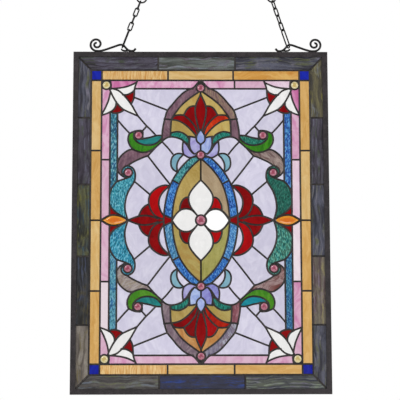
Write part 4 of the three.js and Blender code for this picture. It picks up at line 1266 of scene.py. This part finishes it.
def rail(name, along, across, half_length, sight):
    """A rail that runs along one direction, with its profile reaching out across it."""
    profile = rail_profile()
    count = len(profile)
    verts, polys = [], []
    for k in range(STATIONS + 1):
        share = -1 + 2 * k / STATIONS
        for r, w in profile:
            end = half_length - RAIL_FACE + r - MITRE_GAP
            place = Vector(along) * (share * end) + Vector(across) * (sight + r)
            verts.append((place.x * MM, place.y * MM, w * MM))
    for a in range(0, STATIONS * count, count):
        for i in range(count):
            j = (i + 1) % count
            polys.append((a + i, a + count + i, a + count + j, a + j))
    polys.append(tuple(range(count)))
    polys.append(tuple(STATIONS * count + i for i in reversed(range(count))))
    mesh = new_mesh(name, verts, polys)
    mesh.update()
    flip_outwards(mesh)
    finished("rail_" + name, mesh, RAIL_METAL, ["frame_rail_" + name], smooth_faces=False)


rail("top", (1, 0), (0, 1), HALF_WIDTH, SIGHT_V)
rail("bottom", (1, 0), (0, -1), HALF_WIDTH, SIGHT_V)
rail("left", (0, 1), (-1, 0), HALF_HEIGHT, SIGHT_U)
rail("right", (0, 1), (1, 0), HALF_HEIGHT, SIGHT_U)
print("four rails")

# %% [markdown]
# ## Hangers and chains
# Two bent wires stand on the top rail. Each has a spiral, a long arm that rises to a peak, and a foot.
# The chain's long loop goes over the peak. One node tree sweeps a round wire along any curve, and
# another sets link after link, each turned a quarter against the last.

# %% Node trees: bent wire and chain links
LINK_COUNT = 4
LINK_SIDES, LINK_BENDS, NEARLY_HALF = 10, 7, 0.49


def wire_tree():
    tree, given = geometry_tree("bent wire", {"Diameter": 0.003, "Sides": 12})
    section = round_section(tree, given["Sides"], given["Diameter"])
    return dressed(tree, given, swept(tree, given["Geometry"], section, **{"Fill Caps": True}))


def link_tree():
    usual = {"Length": 0.0158, "Width": 0.0067, "Diameter": 0.002, "Pitch": 0.0141, "Count": LINK_COUNT}
    tree, given = geometry_tree("chain links", usual)
    sides = {"Width": given["Width"], "Height": given["Length"]}
    box = node(tree, "GeometryNodeCurvePrimitiveQuadrilateral", sides)["Curve"]
    rounding = maths(tree, "MULTIPLY", given["Width"], NEARLY_HALF)
    bends = {"Curve": box, "Radius": rounding, "Count": LINK_BENDS}
    oval = node(tree, "GeometryNodeFilletCurve", bends, mode="POLY")["Curve"]
    link = swept(tree, oval, round_section(tree, LINK_SIDES, given["Diameter"]))
    steps = {"Count": given["Count"], "Offset": xyz(tree, 0, given["Pitch"], 0)}
    row = node(tree, "GeometryNodeMeshLine", steps, mode="OFFSET")["Mesh"]
    angle = maths(tree, "MULTIPLY", node(tree, "GeometryNodeInputIndex")[0], math.pi / 2)
    links = {"Points": row, "Instance": link, "Rotation": xyz(tree, 0, angle, 0)}
    return dressed(tree, given, node(tree, "GeometryNodeInstanceOnPoints", links)[0])


BENT = wire_tree()
LINKS = link_tree()
print("trees", BENT.name, "and", LINKS.name)


# %% Hangers
WIRE_STEP = 1.2


def flowing(points):
    """A smooth line through unevenly spaced points, without loops between close ones."""
    pts = [Vector((*p, 0)) for p in points]
    ends = [2 * pts[0] - pts[1]] + pts + [2 * pts[-1] - pts[-2]]
    line = [pts[0]]
    for p0, p1, p2, p3 in zip(ends, ends[1:], ends[2:], ends[3:]):
        t0 = 0.0
        t1 = t0 + math.sqrt((p1 - p0).length)
        t2 = t1 + math.sqrt((p2 - p1).length)
        t3 = t2 + math.sqrt((p3 - p2).length)
        count = max(1, round((p2 - p1).length / WIRE_STEP))
        for k in range(1, count + 1):
            t = t1 + (t2 - t1) * k / count
            a1 = p0.lerp(p1, (t - t0) / (t1 - t0))
            a2 = p1.lerp(p2, (t - t1) / (t2 - t1))
            a3 = p2.lerp(p3, (t - t2) / (t3 - t2))
            b1 = a1.lerp(a2, (t - t0) / (t2 - t0))
            b2 = a2.lerp(a3, (t - t1) / (t3 - t1))
            line.append(b1.lerp(b2, (t - t1) / (t2 - t1)))
    return line


def turned(x, y, angle):
    """A place in the panel's plane, turned about its own upright axis."""
    return Matrix.Translation((x * MM, y * MM, 0)) @ Matrix.Rotation(angle, 4, "Y")


HANGER_WIRE, CURL_SHARE = 4.0, 0.8
PEAK_UP = 12.4
STAND_OFF = 0.3
FEET_V = HALF_HEIGHT + STAND_OFF
SPIRAL_U, SPIRAL_V = -48, 14
SPIRAL_ANGLES, SPIRAL_RADII, SPIRAL_STEPS = (1.43, 10.93), (2.2, 12.1), 34
spiral = []
for i in range(SPIRAL_STEPS + 1):
    share = i / SPIRAL_STEPS
    angle, radius = (low + (high - low) * share for low, high in (SPIRAL_ANGLES, SPIRAL_RADII))
    spiral.append((SPIRAL_U + radius * math.cos(angle), SPIRAL_V + radius * math.sin(angle)))
ARM = [(-41, 1.9), (-33, 3.8), (-18, 9), (-5, 13.2), (0, PEAK_UP)]
FOOT = [(8, 4.2), (13.5, 1.9), (19, 2.3), (22.6, 6.2)]
CURL = [(11, 2.6), (5, 2.2), (0, 2.6), (-2.6, 4.4), (-2.2, 5.8)]
HANGERS = {
    "left": {"peak": -139.5, "facing": 0, "lean": 20.8, "twist": 0},
    "right": {"peak": 158, "facing": 180, "lean": 18.5, "twist": 28},
}
stands = {side: turned(own["peak"], FEET_V, math.radians(own["facing"])) for side, own in HANGERS.items()}
for side, stand in stands.items():
    bends = []
    for route, diameter in ((spiral + ARM + FOOT, HANGER_WIRE), (CURL, HANGER_WIRE * CURL_SHARE)):
        bends.append(grown(lines_object("wire", [flowing(route)]), BENT, WIRE_METAL, Diameter=diameter * MM))
    mesh = joined("hanger", bends)
    mesh.transform(stand)
    finished("hanger_" + side, mesh, WIRE_METAL, ["scroll_hanger_" + side])
print("two hangers")

# %% Chains
LINK_WIRE = 2.6
LINK_LENGTH = 16.4
LOOP_LENGTH = 35.6
LOOP_WIDTH = 9.0
BITE = 0.3
RING_RADIUS = 8.75
RING_WIRE = 3.0
PLAY = 1.2
REACH = HANGER_WIRE / 2 + LINK_WIRE / 2 + PLAY
PITCH = LINK_LENGTH - LINK_WIRE + BITE
LINKS_START = LOOP_LENGTH - LINK_WIRE + BITE
RING_START = LINKS_START + (LINK_COUNT * PITCH - (RING_WIRE - LINK_WIRE) / 2)
HALF_TURN = 9


def stadium(length, width):
    """A long oval: two half circles with straight sides between them."""
    side, straight = width / 2, length / 2 - width / 2
    line = []
    for sign in (1, -1):
        for i in range(HALF_TURN):
            angle = math.pi * i / (HALF_TURN - 1)
            line.append((sign * side * math.cos(angle), sign * (straight + side * math.sin(angle))))
    return line


for side, own in HANGERS.items():
    twist, lean = math.radians(own["twist"]), math.radians(own["lean"])
    long_loop = lines_object("loop", [stadium(LOOP_LENGTH, LOOP_WIDTH)], closed=True)
    loop = grown(long_loop, BENT, WIRE_METAL, Diameter=LINK_WIRE * MM)
    loop.transform(turned(0, LOOP_LENGTH / 2, twist + math.pi / 2))
    start = bpy.data.objects.new("links", bpy.data.meshes.new("start"))
    sizes = {"Length": LINK_LENGTH * MM, "Diameter": LINK_WIRE * MM, "Pitch": PITCH * MM}
    links = grown(start, LINKS, WIRE_METAL, **sizes)
    links.transform(turned(0, LINKS_START + LINK_LENGTH / 2, twist))
    end_circle = lines_object("ring", [circle(0, 0, RING_RADIUS, ROUND_SIDES)[:-1]], closed=True)
    ring = grown(end_circle, BENT, WIRE_METAL, Diameter=RING_WIRE * MM)
    ring.transform(turned(0, RING_START + RING_RADIUS, twist))
    mesh = joined("chain", [loop, links, ring])
    hook = ((-REACH * math.sin(lean)) * MM, (PEAK_UP - REACH * math.cos(lean)) * MM, 0)
    mesh.transform(Matrix.Translation(hook) @ Matrix.Rotation(-lean, 4, "Z"))
    mesh.transform(stands[side])
    finished("chain_" + side, mesh, WIRE_METAL, ["hanging_chain_" + side])
print("two chains")
